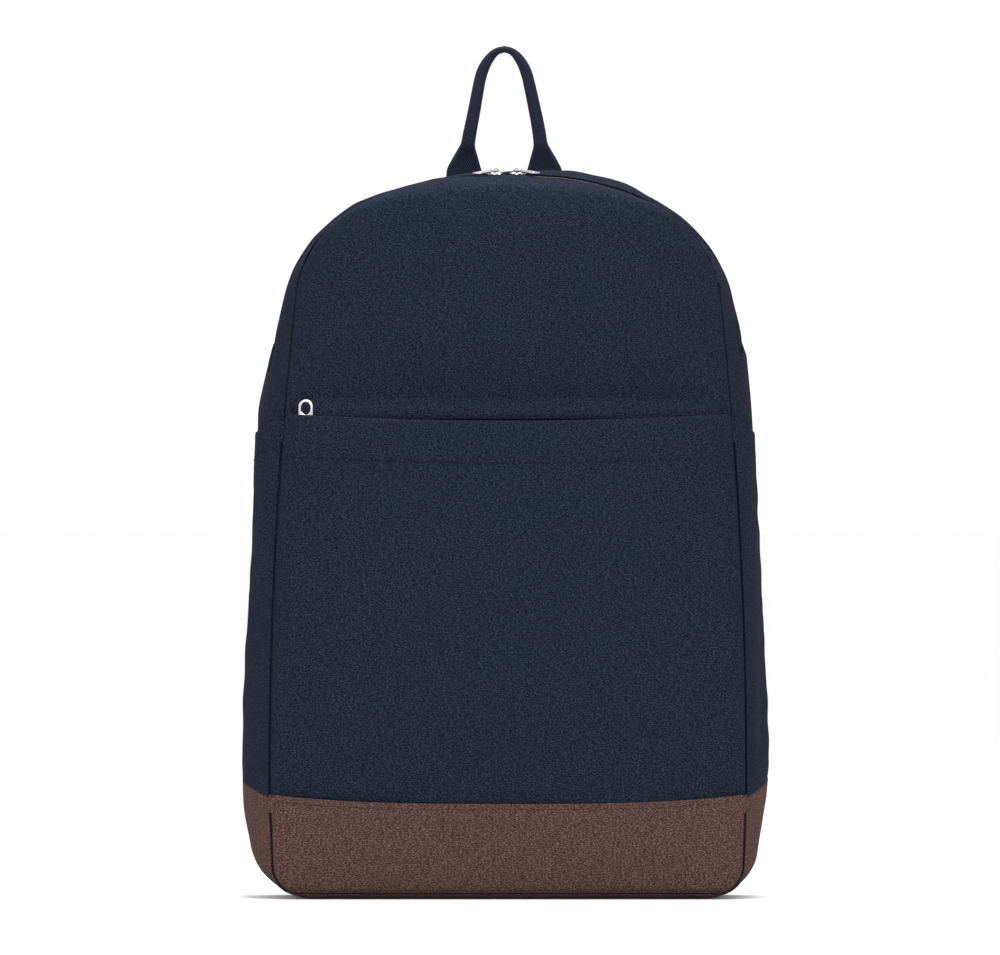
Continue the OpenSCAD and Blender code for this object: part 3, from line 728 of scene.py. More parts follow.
def make_pocket_facing():
    """A strip sewn over the upper tape of the pocket's zipper, its lower edge turned under."""
    columns, rows = 110, 34
    low, high, hem, roll = 287.6, 300.4, 5.0, 0.7
    length = high - low
    total = length + math.pi * roll + hem
    d, s = np.meshgrid(np.linspace(0, total, rows + 1), 2 * ends_dense(columns, 2.2) - 1,
                       indexing="ij")
    height, inward = fold_profile(length, hem, roll, d)
    z = high - height
    x = 128.5 * s
    k = np.clip((high - z) / length, 0, 1)
    flush = front_at(z) - 2.1
    stand = 0.2 + 4.3 * ramp(k / 0.85)
    y = flush - stand * (1 - np.abs(s) ** 40) + inward
    flat = np.stack([x, y, z], -1)
    y = y - 0.25 * waves(flat, 34, 19) * ramp((1 - np.abs(s)) / 0.05) * ramp(k / 0.3)
    y = y + 0.3 * np.exp(-((k - 0.72) / 0.06) ** 2) * (inward < 0.1)
    obj = cloth("pocket_zip_facing", np.stack([x, y, z], -1), 1.2)
    finish_piece(obj, "bag", [NAVY, LINING])


def hem_stitches(name, points, rows_at, body, material, slot, inset=3.0, lift=0.15, **size):
    """Stitch rows that follow grid rows of a surface, kept clear of its two side seams."""
    normal = normals_of(points)
    lines, outs = [], []
    for r in rows_at:
        line = points[r] + normal[r] * lift
        lengths = np.concatenate([[0], np.cumsum(np.linalg.norm(np.diff(line, axis=0), axis=1))])
        keep = (lengths > inset) & (lengths < lengths[-1] - inset)
        lines.append(line[keep])
        outs.append(normal[r][keep])
    obj = stitch_row(name, lines, outs, **size)
    return finish_piece(obj, body, material)


def make_base_front():
    columns, rows = 150, 46
    low, top, hem, roll = 3.6, 57.4, 9.0, 0.9
    length = top - roll - low
    total = length + math.pi * roll + hem
    t = np.concatenate([np.linspace(0, (length - 0.8) / total, rows - 18),
                        np.linspace((length + 0.1) / total, 1, 19)])
    d_up, s = np.meshgrid(t * total, 2 * ends_dense(columns, 2.2) - 1, indexing="ij")
    height, inward = fold_profile(length, hem, roll, d_up)
    z0 = low + height
    side = SEAM.at(SEAM.u_at(np.clip(z0, 3.5, 400)))[..., 0] - 0.3
    k = np.clip((z0 - low) / 53.4, 0, 1)
    bow = 4.1 * k + (4.2 - 2.05) * 4 * k * (1 - k)
    x = s * side
    z = z0 + 5.5 * k * np.abs(s) ** 3
    d = np.minimum(seam_distance(x, z), side - np.abs(x))
    y = front_at(z) - 3.8 - 2.1 * ramp((z0 - 41) / 8) - bow * (1 - np.abs(s) ** 24)
    y = y + seam_fall(d, 6.6, 0.75) + inward
    flat = np.stack([x, y, z], -1)
    free = ramp(d / 12)
    y = y - free * (0.5 * waves(flat * [1, 0, 1.4], 70, 23) + 0.16 * waves(flat, 20, 24))
    on_face = 1 - np.clip(inward / (2 * roll), 0, 1)
    below = top - z0
    y = y + 0.4 * groove_at(below - BASE_SEAM, 0.9) * on_face
    points = np.stack([x, y, z], -1)
    obj = cloth("base_front", points, 1.5)
    finish_piece(obj, "bag", [BROWN, LINING], ("base_front_panel",))
    row = int(np.argmin(np.abs((z0 + 100 * (inward > 0.01))[:, 0] - (top - BASE_SEAM))))
    hem_stitches("base_front_stitching", points, [row], "bag", BROWN_THREAD, "brown_base", inset=4)


# ---------------------------------------------------------------- gussets
def gusset_groove(y_from_seam):
    """Inset of the gusset near a seam."""
    return 0.5 * np.exp(-np.maximum(y_from_seam, 0) / 0.8)


def seam_depth(z):
    """The seams are tight along the arched top and open into a narrow gap on the sides."""
    return 0.22 + 0.78 * ramp((412 - z) / 40)


def lipped(p, y, y0, front=3.2, back=1.0):
    """The gusset's edges dip into the two seams, so that each seam is a narrow dark gap."""
    at_front = np.exp(-np.maximum(y - y0, 0) / 0.6)
    at_back = np.exp(-np.maximum(BACK_Y - y, 0) / 0.6)
    p[..., 1] += front * seam_depth(p[..., 2]) * at_front - back * at_back
    return p


def slack(u):
    """How far the front strip's edge sags beside the right slider, where the zipper shows."""
    return 2.6 * ramp((u - 0.2) / 0.3) * ramp((2.1 - u) / 0.6)


def raised(u):
    """How far the back strip stands up behind that stretch of the zipper."""
    return 3.9 * ramp((u - 0.1) / 1.1) * ramp((2.2 - u) / 0.55)


def make_zip_strips():
    u_zip = float(WIDE.u_at(np.array(ZIP_END_Z)))
    # front strip: from the front seam to the zipper, its lower ends on the slanting cut
    columns, rows = 52, 300
    edge = ZIP_Y - ZIP_GAP / 2
    hem, roll = 7.0, 0.8
    share = np.concatenate([np.linspace(0, 1, columns - 11) ** 1.5, 1 + np.linspace(0.03, 1, 12)])
    k, a = np.meshgrid(share, np.linspace(-1, 1, rows + 1))
    on = np.clip(k, 0, 1)
    cut = np.minimum(ZIP_END_Z, HINGE_Z + CUT_SLOPE * (edge + CUT_FRONT) * on)
    ends = WIDE.u_at(cut)
    u = np.sign(a) * even(WIDE, 0, u_zip, np.abs(a)) * ends / u_zip
    turned, behind = turned_edge(k - 1, hem, roll)
    y0 = seam_y(u)
    y = y0 + (edge - y0) * on + roll * np.sin(turned) - behind
    dip = (1.2 + slack(u)) * np.exp(-np.abs(edge - y) / 4.5)
    inset = gusset_groove(y - y0) + dip + roll * (1 - np.cos(turned))
    p = lipped(gusset(u, y, inset), y, y0)
    face = np.where(k <= 1, 1.0, 0.0)
    free = ramp((y - y0) / 9) * ramp((edge - y) / 7) * face
    p = pushed(p, free * (0.55 * waves(p * [1, 0.5, 1], 55, 31) + 0.2 * waves(p, 18, 32)))
    p = pushed(p, -0.35 * (face * groove_at(edge - y - ZIP_SEAM, 0.7)))
    front = cloth("zip_strip_front_cloth", p, 1.3)
    finish_piece(front, None, [NAVY, LINING], ("zip_strip_front",))
    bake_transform(front)
    column = int(np.argmin(np.abs(edge - y[0] - ZIP_SEAM) + 100 * (k[0] > 1)))
    out = normals_of(p)[:, column]
    row = stitch_row("zip_front_stitching", [p[:, column] + out * 0.1], [out])
    finish_piece(row, None, THREAD)
    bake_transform(row)
    # back strip: from the zipper to the back seam
    near = ZIP_Y + ZIP_GAP / 2
    columns, rows = 62, 300
    share = np.concatenate([-1 + np.linspace(0, 0.97, 12), 1 - (1 - np.linspace(0, 1, columns - 11)) ** 1.5])
    k, a = np.meshgrid(share, np.linspace(-1, 1, rows + 1))
    u = np.sign(a) * even(WIDE, 0, u_zip, np.abs(a))
    turned, behind = turned_edge(-k, hem, roll)
    y = near + (BACK_Y - near) * np.clip(k, 0, 1) - roll * np.sin(turned) + behind
    dip = 1.2 * np.exp(-np.abs(y - near) / 4.5)
    crest = 0.3 + 0.7 * ramp((y - near) / 14) * ramp((BACK_Y - y) / 14)
    inset = gusset_groove(BACK_Y - y) + dip - raised(u) * crest + roll * (1 - np.cos(turned))
    p = lipped(gusset(u, y, inset), y, seam_y(u))
    face = np.where(k >= 0, 1.0, 0.0)
    free = ramp((BACK_Y - y) / 9) * ramp((y - near) / 7) * face
    p = pushed(p, free * (0.5 * waves(p * [1, 0.5, 1], 60, 33) + 0.2 * waves(p, 20, 34)))
    p = pushed(p, -0.35 * face * groove_at(y - near - ZIP_SEAM, 0.7))
    rear = cloth("zip_strip_back_cloth", p, 1.3)
    finish_piece(rear, "bag", [NAVY, LINING], ("zip_strip_back",))
    column = int(np.argmin(np.abs(y[0] - near - ZIP_SEAM) + 100 * (k[0] < 0)))
    out = normals_of(p)[:, column]
    row = stitch_row("zip_back_stitching", [p[:, column] + out * 0.1], [out])
    finish_piece(row, "bag", THREAD)


def boot_top(y):
    """Height of the brown gusset's edge at depth y."""
    return BOOT[1] - (BOOT[1] - BOOT[0]) * np.clip((BACK_Y - y) / (BACK_Y + FRONT_Y), 0, 1) ** 2.6


def side_points(side, k, top, bottom, t, extra, sunk):
    """Gusset points of one side: k is the share of the depth, t runs from top to bottom."""
    u0, u1 = WIDE.u_at(top), WIDE.u_at(bottom)
    u = u0 + (u1 - u0) * t
    y0 = seam_y(u)
    y = y0 + (BACK_Y - y0) * k
    inset = gusset_groove(y - y0) + gusset_groove(BACK_Y - y) + extra
    return lipped(gusset(side * u, y, inset, sunk), y, y0)


def make_side(side, name, seed):
    # gusset
    k, t = np.meshgrid(ends_dense(70), np.linspace(0, 1, 161) ** 1.3)
    depth = -FRONT_Y + (BACK_Y + FRONT_Y) * k
    cut = np.minimum(ZIP_END_Z, HINGE_Z + CUT_SLOPE * (90.5 * k + 2.78))
    top, bottom = cut + 5, boot_top(depth) - 6
    tucked = 1.9 * ramp(((1 - t) * (top - bottom) + bottom - cut + 1.5) / 4)
    p = side_points(side, k, top, bottom, t, tucked, 1)
    free = ramp(k / 0.12) * ramp((1 - k) / 0.12) * ramp((t - 0.02) / 0.08)
    free = free * (0.25 + 0.75 * ramp(np.abs(p[..., 2] - mouth_z(k)) / 14))
    p = pushed(p, free * (0.8 * waves(p * [1, 1.6, 0.35], 70, seed) + 0.3 * waves(p, 24, seed + 1)))
    obj = cloth("gusset_" + name, p, 1.3)
    finish_piece(obj, "bag", [NAVY, LINING], ("side_gusset_" + name,))
    # slip pocket with a hemmed mouth
    roll, hem = 1.0, 14.0
    share = np.concatenate([-np.linspace(1, 0.04, 22), np.linspace(0, 1, 110)])
    k, t = np.meshgrid(np.linspace(0.0, 1.0, 71), share)
    depth = -FRONT_Y + (BACK_Y + FRONT_Y) * k
    mouth = mouth_z(k) + 0.5 * np.sin(k * 34) * ramp(k / 0.2) * ramp((1 - k) / 0.2)
    turned, behind = turned_edge(-t, hem, roll)
    drop = behind - roll * np.sin(turned)
    proud = 0.3 + 0.8 * np.where(t < 0, 1, np.exp(-t * 24))
    p = side_points(side, k, mouth - drop, boot_top(depth) - 5, np.clip(t, 0, 1),
                    roll * (1 - np.cos(turned)) - proud, 0)
    face = np.where(t >= 0, 1.0, 0.0)
    z = p[..., 2]
    below = mouth - z
    free = ramp(k / 0.14) * ramp((1 - k) / 0.14)
    gathers = 0.5 * np.exp(-below / 26) * np.sin(k * 42 + 2 * waves(p, 40, seed + 5))
    long_fold = 1.5 * groove_at(k - 0.55 - 0.06 * np.sin(z / 60), 0.13)
    long_fold = long_fold * ramp((below - 4) / 50) * ramp((z - 74) / 60)
    second = groove_at(k - 0.3 + 0.05 * np.sin(z / 45), 0.09)
    second = second * ramp((below - 20) / 60) * ramp((z - 80) / 40)
    relief = 0.7 * waves(p * [1, 1.4, 0.4], 65, seed + 2) + 0.3 * waves(p, 22, seed + 3)
    relief = relief - long_fold - second + gathers
    calm = 0.25 + 0.75 * ramp((below - 4) / 40)
    p = pushed(p, free * relief * calm * np.where(face > 0, 1, 0.6) * ramp((z - boot_top(depth)) / 12))
    p = pushed(p, -0.4 * face * groove_at(below - MOUTH_SEAM, 0.9))
    obj = cloth("side_pocket_" + name + "_cloth", p, 1.2)
    finish_piece(obj, "bag", [NAVY, LINING], ("side_pocket_" + name,))
    row = int(np.argmin(np.abs(below[:, 35] - MOUTH_SEAM) + 100 * (t[:, 35] < 0)))
    hem_stitches("side_pocket_" + name + "_stitching", p, [row], "bag", THREAD, "navy_canvas")


def make_base():
    # brown base wrapping the bottom from one boot edge to the other, both edges turned under
    roll, hem = 0.8, 7.0
    rows = 260
    a = np.linspace(-1, 1, rows + 1)
    turn_rows = np.linspace(1, 0.05, 14)
    share = np.concatenate([-1 - turn_rows, a, 1 + turn_rows[::-1]])
    k, a = np.meshgrid(ends_dense(70), share)
    depth = -FRONT_Y + (BACK_Y + FRONT_Y) * k
    edge = boot_top(depth) + 0.6 * np.sin(k * 9)
    u0 = WIDE.u_at(edge)
    on = np.clip(np.abs(a), 0, 1)
    turned, behind = turned_edge(np.abs(a) - 1, hem, roll)
    lowered = WIDE.u_at(edge - behind + roll * np.sin(turned))
    # walk along the outline from the middle of the bottom to the edge
    low = LAST + 1.0
    table = np.linspace(0, 1, 300)
    mean_u0 = float(u0.mean())
    walked = even(WIDE, mean_u0, low, table)
    u = np.interp(1 - on, table, walked)
    u = u0 + (u - mean_u0) * (low - u0) / (low - mean_u0)
    u = np.where(np.abs(a) > 1, lowered, u)
    sign = np.where(a < 0, -1.0, 1.0)
    u = np.clip(u, 0, low) * sign
    y0 = seam_y(u)
    y = y0 + (BACK_Y - y0) * k
    upright = ramp((WIDE.at(np.abs(u))[..., 1] - 2) / 20)
    inset = gusset_groove(y - y0) + gusset_groove(BACK_Y - y) - 0.5 * upright + roll * (1 - np.cos(turned))
    p = lipped(gusset(u, y, inset), y, y0)
    face = np.where(np.abs(a) <= 1, 1.0, 0.0)
    z = p[..., 2]
    free = ramp(k / 0.1) * ramp((1 - k) / 0.1) * face * ramp((z - 12) / 20)
    p = pushed(p, free * (0.55 * waves(p * [1, 1, 1.4], 50, 41) + 0.18 * waves(p, 16, 42)))
    below = edge - z
    p = pushed(p, -0.35 * face * groove_at(below - BASE_SEAM, 0.9))
    p[..., 2] = np.maximum(p[..., 2], 0.15)
    obj = cloth("base_gusset_cloth", p, 1.5)
    finish_piece(obj, "bag", [BROWN, LINING], ("base_gusset",))
    middle = below[:, 35] + 100 * (np.abs(a[:, 35]) > 1)
    half = len(middle) // 2
    left = int(np.argmin(np.abs(middle[:half] - BASE_SEAM)))
    right = half + int(np.argmin(np.abs(middle[half:] - BASE_SEAM)))
    hem_stitches("base_gusset_stitching", p, [left, right], "bag", BROWN_THREAD, "brown_base")


# ---------------------------------------------------------------- zippers
def coil_row(name, line, outs, side_way, teeth_in, teeth_out, pitch=1.5):
    """Coil teeth along a line: each is a small bar across the zipper."""
    form = small_form((1.15, teeth_out - teeth_in, 1.5), 6, 4)
    p, way, share = along_line(line, pitch)
    at = np.linspace(0, 1, len(line))
    up = unit(np.stack([np.interp(share, at, outs[:, i]) for i in range(3)], -1))
    across = np.broadcast_to(np.asarray(side_way, float), p.shape)
    tilt = unit(across + 0.12 * way)
    axes = np.stack([unit(np.cross(tilt, up)), tilt, up], 1)
    return repeated(name, form, p + across * (teeth_in + teeth_out) / 2, axes)


def main_zip_line(depth, u0, u1, count):
    """Points, outward directions and outline parameters evenly along the main zipper."""
    u = np.linspace(u0, u1, 700)
    a = np.abs(u)
    n = WIDE.normal(a)
    p = WIDE.at(a) - (depth - 0.3 * raised(u))[:, None] * n
    s = np.sign(u)
    line = np.stack([p[:, 0] * s, np.full(len(u), ZIP_Y), p[:, 1]], -1)
    outs = np.stack([n[:, 0] * s, np.zeros(len(u)), n[:, 1]], -1)
    length = np.concatenate([[0], np.cumsum(np.linalg.norm(np.diff(line, axis=0), axis=1))])
    at = np.linspace(0, length[-1], count)

    def pick(q):
        return np.stack([np.interp(at, length, q[:, i]) for i in range(3)], -1)

    return pick(line), unit(pick(outs)), np.interp(at, length, u)


def ribbon_tape(name, line, outs, way, sag=0.0):
    """One tape of a zipper, beside its line on the side that way points to."""
    k = np.linspace(0.45, 9.0, 7)
    lowered = np.broadcast_to(sag, len(line))[:, None] * ramp((k - 2.5) / 2.5)
    line = line[:, None] - outs[:, None] * lowered[..., None]
    points = line + np.asarray(way, float) * k[None, :, None]
    points = points + 0.12 * np.sin(k * 1.4)[None, :, None] * outs[:, None]
    obj = add_grid(name, 6, len(line) - 1, points)
    if (vertex_values(obj.data, "normal") * np.repeat(outs, 7, 0)).sum() < 0:
        in_edit_mode(obj, bpy.ops.mesh.flip_normals)
    apply_modifier(obj, "SOLIDIFY", thickness=0.7 * MM, offset=-1.0)
    return obj


def make_main_zip():
    u_end = float(WIDE.u_at(np.array(ZIP_END_Z))) - 0.02
    for part, way, gap in (("front", (0, -1, 0), 0.36), ("back", (0, 1, 0), 0.0)):
        tapes, coils = [], []
        spans = [(-u_end, -gap), (gap, u_end)] if gap else [(-u_end, u_end)]
        count = 220 if gap else 420
        for u0, u1 in spans:
            line, outs, u = main_zip_line(4.6, u0, u1, count)
            sag = slack(u) if gap else 0 * u
            tapes.append(ribbon_tape("main_tape_part", line, outs, way, sag=sag))
            line, outs, u = main_zip_line(3.65, u0, u1, count)
            coils.append(coil_row("main_coil_part", line, outs, way, -0.35, 2.7))
        tape = join_pieces(tapes, "main_zip_tape_" + part)
        coil = join_pieces(coils, "main_zip_coil_" + part)
        finish_piece(tape, None if gap else "bag", TAPE, ("main_tape_" + part,))
        finish_piece(coil, None if gap else "bag", COIL, ("main_coil_" + part,))
        if gap:
            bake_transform(tape)
            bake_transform(coil)
    tabs = []
    for side in (-1, 1):
        k, t = np.meshgrid(np.linspace(0.33, 0.50, 12), np.linspace(0, 1, 16))
        top, bottom = np.full(k.shape, ZIP_END_Z + 1), np.full(k.shape, ZIP_END_Z - 14)
        p = side_points(side, k, top, bottom, t, -0.3, 0)
        p = pushed(p, 0.3 * np.sin(np.pi * t) * np.sin(np.pi * (k - 0.33) / 0.17) - 0.2)
        tabs.append(cloth("zip_end_tab_part", p, 1.2))
    tabs = join_pieces(tabs, "zip_end_tab_cloth")
    finish_piece(tabs, "bag", [NAVY, NAVY], ("zip_end_tabs",))


def make_pocket_zip():
    x = np.linspace(-126, 126, 120)
    line = np.stack([x, np.full(120, -56.6), np.full(120, 283.0)], -1)
    outs = np.tile([0.0, -1.0, 0.0], (120, 1))
    tapes = [ribbon_tape("pocket_tape_part", line, outs, (0, 0, way)) for way in (-1, 1)]
    finish_piece(join_pieces(tapes, "pocket_zip_tape"), "bag", TAPE, ("pocket_tape",))
    coils = [coil_row("pocket_coil_part", line + [0, -0.95, 0], outs, (0, 0, way), -0.3, 2.6)
             for way in (-1, 1)]
    finish_piece(join_pieces(coils, "pocket_zip_coil"), "bag", COIL, ("pocket_coil",))


def soften(obj, width, segments=3, angle=50):
    """Bevels the edges sharper than the angle."""
    apply_modifier(obj, "BEVEL", width=width * MM, segments=segments, limit_method="ANGLE",
                   angle_limit=math.radians(angle))


def plate(name, size, corner, bevel):
    """A plate with rounded corners and softened edges, centred on the origin."""
    select_only()
    bpy.ops.mesh.primitive_cube_add(size=1)
    obj = bpy.context.object
    obj.name = name
    obj.scale = [q * MM for q in size]
    bpy.ops.object.transform_apply(location=False, rotation=False, scale=True)
    bpy.ops.object.mode_set(mode="EDIT")
    bpy.ops.mesh.select_all(action="DESELECT")
    bpy.ops.object.mode_set(mode="OBJECT")
    for e in obj.data.edges:
        a, b = (obj.data.vertices[i].co for i in e.vertices)
        e.select = abs(a.z - b.z) > size[2] * MM * 0.5
    bpy.ops.object.mode_set(mode="EDIT")
    bpy.ops.mesh.select_mode(type="EDGE")
    bpy.ops.mesh.bevel(offset=corner * MM, segments=5, affect="EDGES")
    bpy.ops.object.mode_set(mode="OBJECT")
    soften(obj, bevel)
    return obj


def place_part(obj, matrix):
    obj.data.transform(matrix)
    obj.data.update()
    return obj


def local_frame(origin, x_way, z_way):
    z = unit(z_way)
    x = unit(np.asarray(x_way, float) - np.dot(x_way, z) * z)
    y = np.cross(z, x)
    m = Matrix.Identity(4)
    for i in range(3):
        m[i][0], m[i][1], m[i][2], m[i][3] = x[i], y[i], z[i], origin[i] * MM
    return m


def bent_bar(name, path, across, width, thick, count=12):
    """A flat bar with round edges, bent along a path in one plane."""
    path = np.asarray(path, float)
    way = unit(np.gradient(path, axis=0))
    across = np.tile(np.asarray(across, float), (len(path), 1))
    section = round_section(width, thick, thick * 0.42, count)
    return swept(name, path, across, unit(np.cross(across, way)), section)


def slider_parts(bridge_h, turn):
    """A slider in its own frame: x along the zipper, z out of the bag, 0 on the tape."""
    low = plate("slider_low", (10.0, 8.4, 0.75), 2.2, 0.22)
    place_part(low, Matrix.Translation((0, 0, -1.22 * MM)))
    high = plate("slider_high", (10.0, 8.0, 1.05), 2.6, 0.3)
    place_part(high, Matrix.Translation((0, 0, 2.9 * MM)))
    walls = []
    for s in (-1, 1):
        wall = plate("slider_wall", (7.6, 0.8, 2.4), 0.35, 0.2)
        walls.append(place_part(wall, Matrix.Translation((0, s * 3.6 * MM, 1.6 * MM))))
    post = plate("slider_post", (4.6, 0.6, 3.9), 0.28, 0.1)
    place_part(post, Matrix.Translation((0, 0, 0.95 * MM)))
    a = np.linspace(0, math.pi, 15)
    reach = 3.1
    top = 3.3 + bridge_h
    path = np.stack([reach * np.cos(a), np.zeros(15), 3.0 + (top - 3.4) * np.sin(a) ** 0.6], -1)
    bridge = bent_bar("slider_bridge", path, (0, 1, 0), 2.6, 0.85)
    place_part(bridge, Matrix.Rotation(turn, 4, "Z"))
    return [low, high, *walls, post, bridge]


def pull_parts(thick, pin_r, window_at):
    """A pull in its own frame: the pin along y at the origin, the plate along x."""
    length, width, hole, hole_at, window = 16, 8.5, (7.7, 5.9), 10.8, (4.0, 5.6)
    r = width / 2
    a = np.linspace(-math.pi / 2, math.pi / 2, 13)
    outer = [(-0.9, -r + 0.8), (-0.3, -r)]
    outer += [(length - r + r * math.cos(q), r * math.sin(q)) for q in a]
    outer += [(-0.3, r), (-0.9, r - 0.8)]
    select_only()
    bpy.ops.mesh.primitive_circle_add(vertices=len(outer), radius=1, fill_type="NGON")
    disc = bpy.context.object
    set_points(disc, [(x, y, -thick / 2) for x, y in outer])

    def raise_it():
        bpy.ops.mesh.extrude_region_move(TRANSFORM_OT_translate={"value": (0, 0, thick * MM)})
        bpy.ops.mesh.select_all(action="SELECT")
        bpy.ops.mesh.normals_make_consistent(inside=False)

    in_edit_mode(disc, raise_it)
    select_only()
    bpy.ops.mesh.primitive_cylinder_add(vertices=24, radius=1, depth=4 * thick * MM)
    oval = bpy.context.object
    oval.data.transform(Matrix.Diagonal((hole[0] / 2 * MM, hole[1] / 2 * MM, 1, 1)))
    oval.data.transform(Matrix.Translation((hole_at * MM, 0, 0)))
    gap = plate("pull_window", (*window, 4 * thick), 0.9, 0.05)
    place_part(gap, Matrix.Translation((window_at * MM, 0, 0)))
    for cutter in (oval, gap):
        cut_away(disc, cutter)
    soften(disc, 0.28, segments=2, angle=40)
    select_only()
    bpy.ops.mesh.primitive_cylinder_add(vertices=16, radius=pin_r * MM, depth=(width - 1.0) * MM,
                                        rotation=(math.pi / 2, 0, 0))
    pin = bpy.context.object
    bpy.ops.object.transform_apply(location=False, rotation=True, scale=False)
    return [disc, pin]


def make_sliders():
    arc_r = 230 - 4.6
    for name, x, turn in (("left", -8, math.radians(220)), ("right", 6, math.radians(-40))):
        angle = math.asin(x / arc_r)
        out = np.array([math.sin(angle), 0, math.cos(angle)])
        origin = np.array([0, ZIP_Y, TOP_Z - 230]) + arc_r * out
        frame_m = local_frame(origin, (1, 0, 0), out)
        body = join_pieces(slider_parts(2.9, turn), "zip_slider_" + name)
        place_part(body, frame_m)
        finish_piece(body, "main_slider_" + name, NICKEL, ("main_slider_" + name,), smooth=35)
        tab = join_pieces(pull_parts(1.3, 0.85, 2.2), "zip_pull_" + name)
        tilt = Matrix.Rotation(turn, 4, "Z") @ Matrix.Rotation(math.radians(6), 4, "Y")
        place_part(tab, frame_m @ Matrix.Translation((0, 0, 4.9 * MM)) @ tilt)
        finish_piece(tab, "main_pull_" + name, NICKEL, ("main_pull_" + name,), smooth=35)
    base = local_frame((-121, -56.6, 283), (1, 0, 0), (0, -1, 0))
    body = join_pieces(slider_parts(1.9, math.pi / 2), "pocket_zip_slider")
    place_part(body, base)
    finish_piece(body, "pocket_slider", NICKEL, ("pocket_slider",), smooth=35)
    tab = join_pieces(pull_parts(1.2, 0.6, 2.0), "pocket_zip_pull")
    lean = Matrix.Rotation(math.radians(-2.5), 4, "X") @ Matrix.Rotation(math.pi / 2, 4, "Z")
    place_part(tab, base @ Matrix.Translation((0, 0, 4.1 * MM)) @ lean)
    finish_piece(tab, "pocket_pull", NICKEL, ("pocket_pull",), smooth=35)


# ---------------------------------------------------------------- haul loop
# right half of the loop, from the foot to the top: x, z, width across the line
LOOP_LINE = [(24.2, 424.6, 21.7), (24.2, 430, 21.7), (24.1, 437, 21.7), (23.7, 441.5, 18.6), (23.2, 446, 15.0),
             (22.7, 450.5, 11.2), (22.2, 454, 8.7), (21.5, 459, 8.3), (19.9, 468, 7.9), (15.5, 490, 7.2),
             (12.9, 499, 6.9), (9.2, 505.8, 5.8), (4.9, 510.2, 4.5), (0, 511.8, 4.0)]


def folded_section(width, thick=1.9, length=19.2, count=22):
    """Webbing that lies flat when width is large and is folded double when it is small."""
    share = np.clip((21.0 - width) / 12.2, 0, 1)
    turn = math.radians(88) * ramp(share)
    folded = max(width - thick - 1.0, 0.9)
    middle = folded if share > 0.98 else np.interp(share, (0, 1), (12.0, folded))
    s = np.linspace(-length / 2, length / 2, 2 * count + 1)
    angle = turn * ramp((np.abs(s) - middle / 2 + 0.8) / 2.2) * np.sign(s)
    step = s[1] - s[0]
    x = np.cumsum(np.cos(angle)) * step
    y = np.cumsum(np.sin(angle)) * step
    x, y = x - x[count], y - y[count]
    normal = np.stack([-np.sin(angle), np.cos(angle)], -1)
    line = np.stack([x, y], -1)
    edge = np.minimum(1, (length / 2 - np.abs(s)) / 0.7 + 0.45)[:, None] * thick / 2
    outer, inner = line - normal * edge, line + normal * edge
    ring = np.concatenate([outer, inner[::-1]])
    ring[:, 0] *= width / (ring[:, 0].max() - ring[:, 0].min())
    return ring - [0, (ring[:, 1].max() + ring[:, 1].min()) / 2]


def make_haul_loop():
    right = smooth_line(LOOP_LINE, 5)
    path = np.concatenate([right, right[-2::-1] * [-1, 1, 1]])
    way = unit(np.gradient(path[:, :2], axis=0))
    e = np.stack([way[:, 1], np.zeros(len(way)), -way[:, 0]], -1)
    o = np.tile([0.0, 1.0, 0.0], (len(way), 1))
    line = np.stack([path[:, 0] - 2.2, np.full(len(path), 41.2), path[:, 1]], -1)
    rise = ramp((path[:, 1] - 436) / 30)
    line = line + e * (0.25 * waves(line, 34, 71) * rise)[:, None]
    line[:, 1] += 0.4 * waves(line, 50, 72) * rise
    sections = np.stack([folded_section(w) for w in path[:, 2]])
    obj = swept("haul_loop_webbing", line, e, o, sections)
    finish_piece(obj, None, WEB, ("haul_loop",), smooth=60)
    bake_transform(obj)


# ---------------------------------------------------------------- back, straps and inside
class BackLine:
    """The outline of the back seam, drawn in by inset."""

    def __init__(self, inset):
        self.inset = inset

    def at(self, u):
        a = np.clip(u, 0, LAST)
        p = WIDE.at(a) - (back_inset(a) + self.inset)[:, None] * WIDE.normal(a)
        p[:, 0] = np.where(u > LAST, p[:, 0] * (LAST + 1 - u), p[:, 0])
        return p


def back_grid(columns, rows, inset):
    """x and z over the back: rows bend up into the arched top."""
    k = np.linspace(0, 1, 500)
    u = even(WIDE, 0, LAST, k)
    line, normal = BackLine(inset).at(u), WIDE.normal(u)
    corner, low = int(np.argmax(normal[:, 0] > 0.7)), int(np.argmax(normal[:, 1] < -0.7))
    s = np.repeat((2 * ends_dense(columns) - 1)[None], rows + 1, 0)
    t = np.repeat(np.linspace(0, 1, rows + 1)[:, None], columns + 1, 1)
    z_side = line[low, 1] + (line[corner, 1] - line[low, 1]) * t
    order = np.argsort(line[corner:low + 1, 1])
    side = np.interp(z_side, line[corner:low + 1, 1][order], line[corner:low + 1, 0][order])
    arch_x = np.interp(np.abs(s) * k[corner], k, line[:, 0]) * np.sign(s)
    arch_z = np.interp(np.abs(s) * k[corner], k, line[:, 1])
    g = ramp((z_side - 220) / (line[corner, 1] - 220))
    bottom = ramp((60 - z_side) / (60 - line[low, 1]))
    foot_x = np.interp(np.abs(s) * (1 - k[low]), 1 - k[::-1], line[::-1, 0]) * np.sign(s)
    x = s * side * (1 - g) + arch_x * side / line[corner, 0] * g
    z = z_side + (arch_z - line[corner, 1]) * g - bottom * (line[low, 1] - line[-1, 1]) * (1 - np.abs(s) ** 6)
    return x, z


PAD_INSET = 17.0         # from the back's edge to the mesh pad
CHANNEL_X = 30           # the pad's upright channels
CHANNEL_Z = (120, 230, 320)


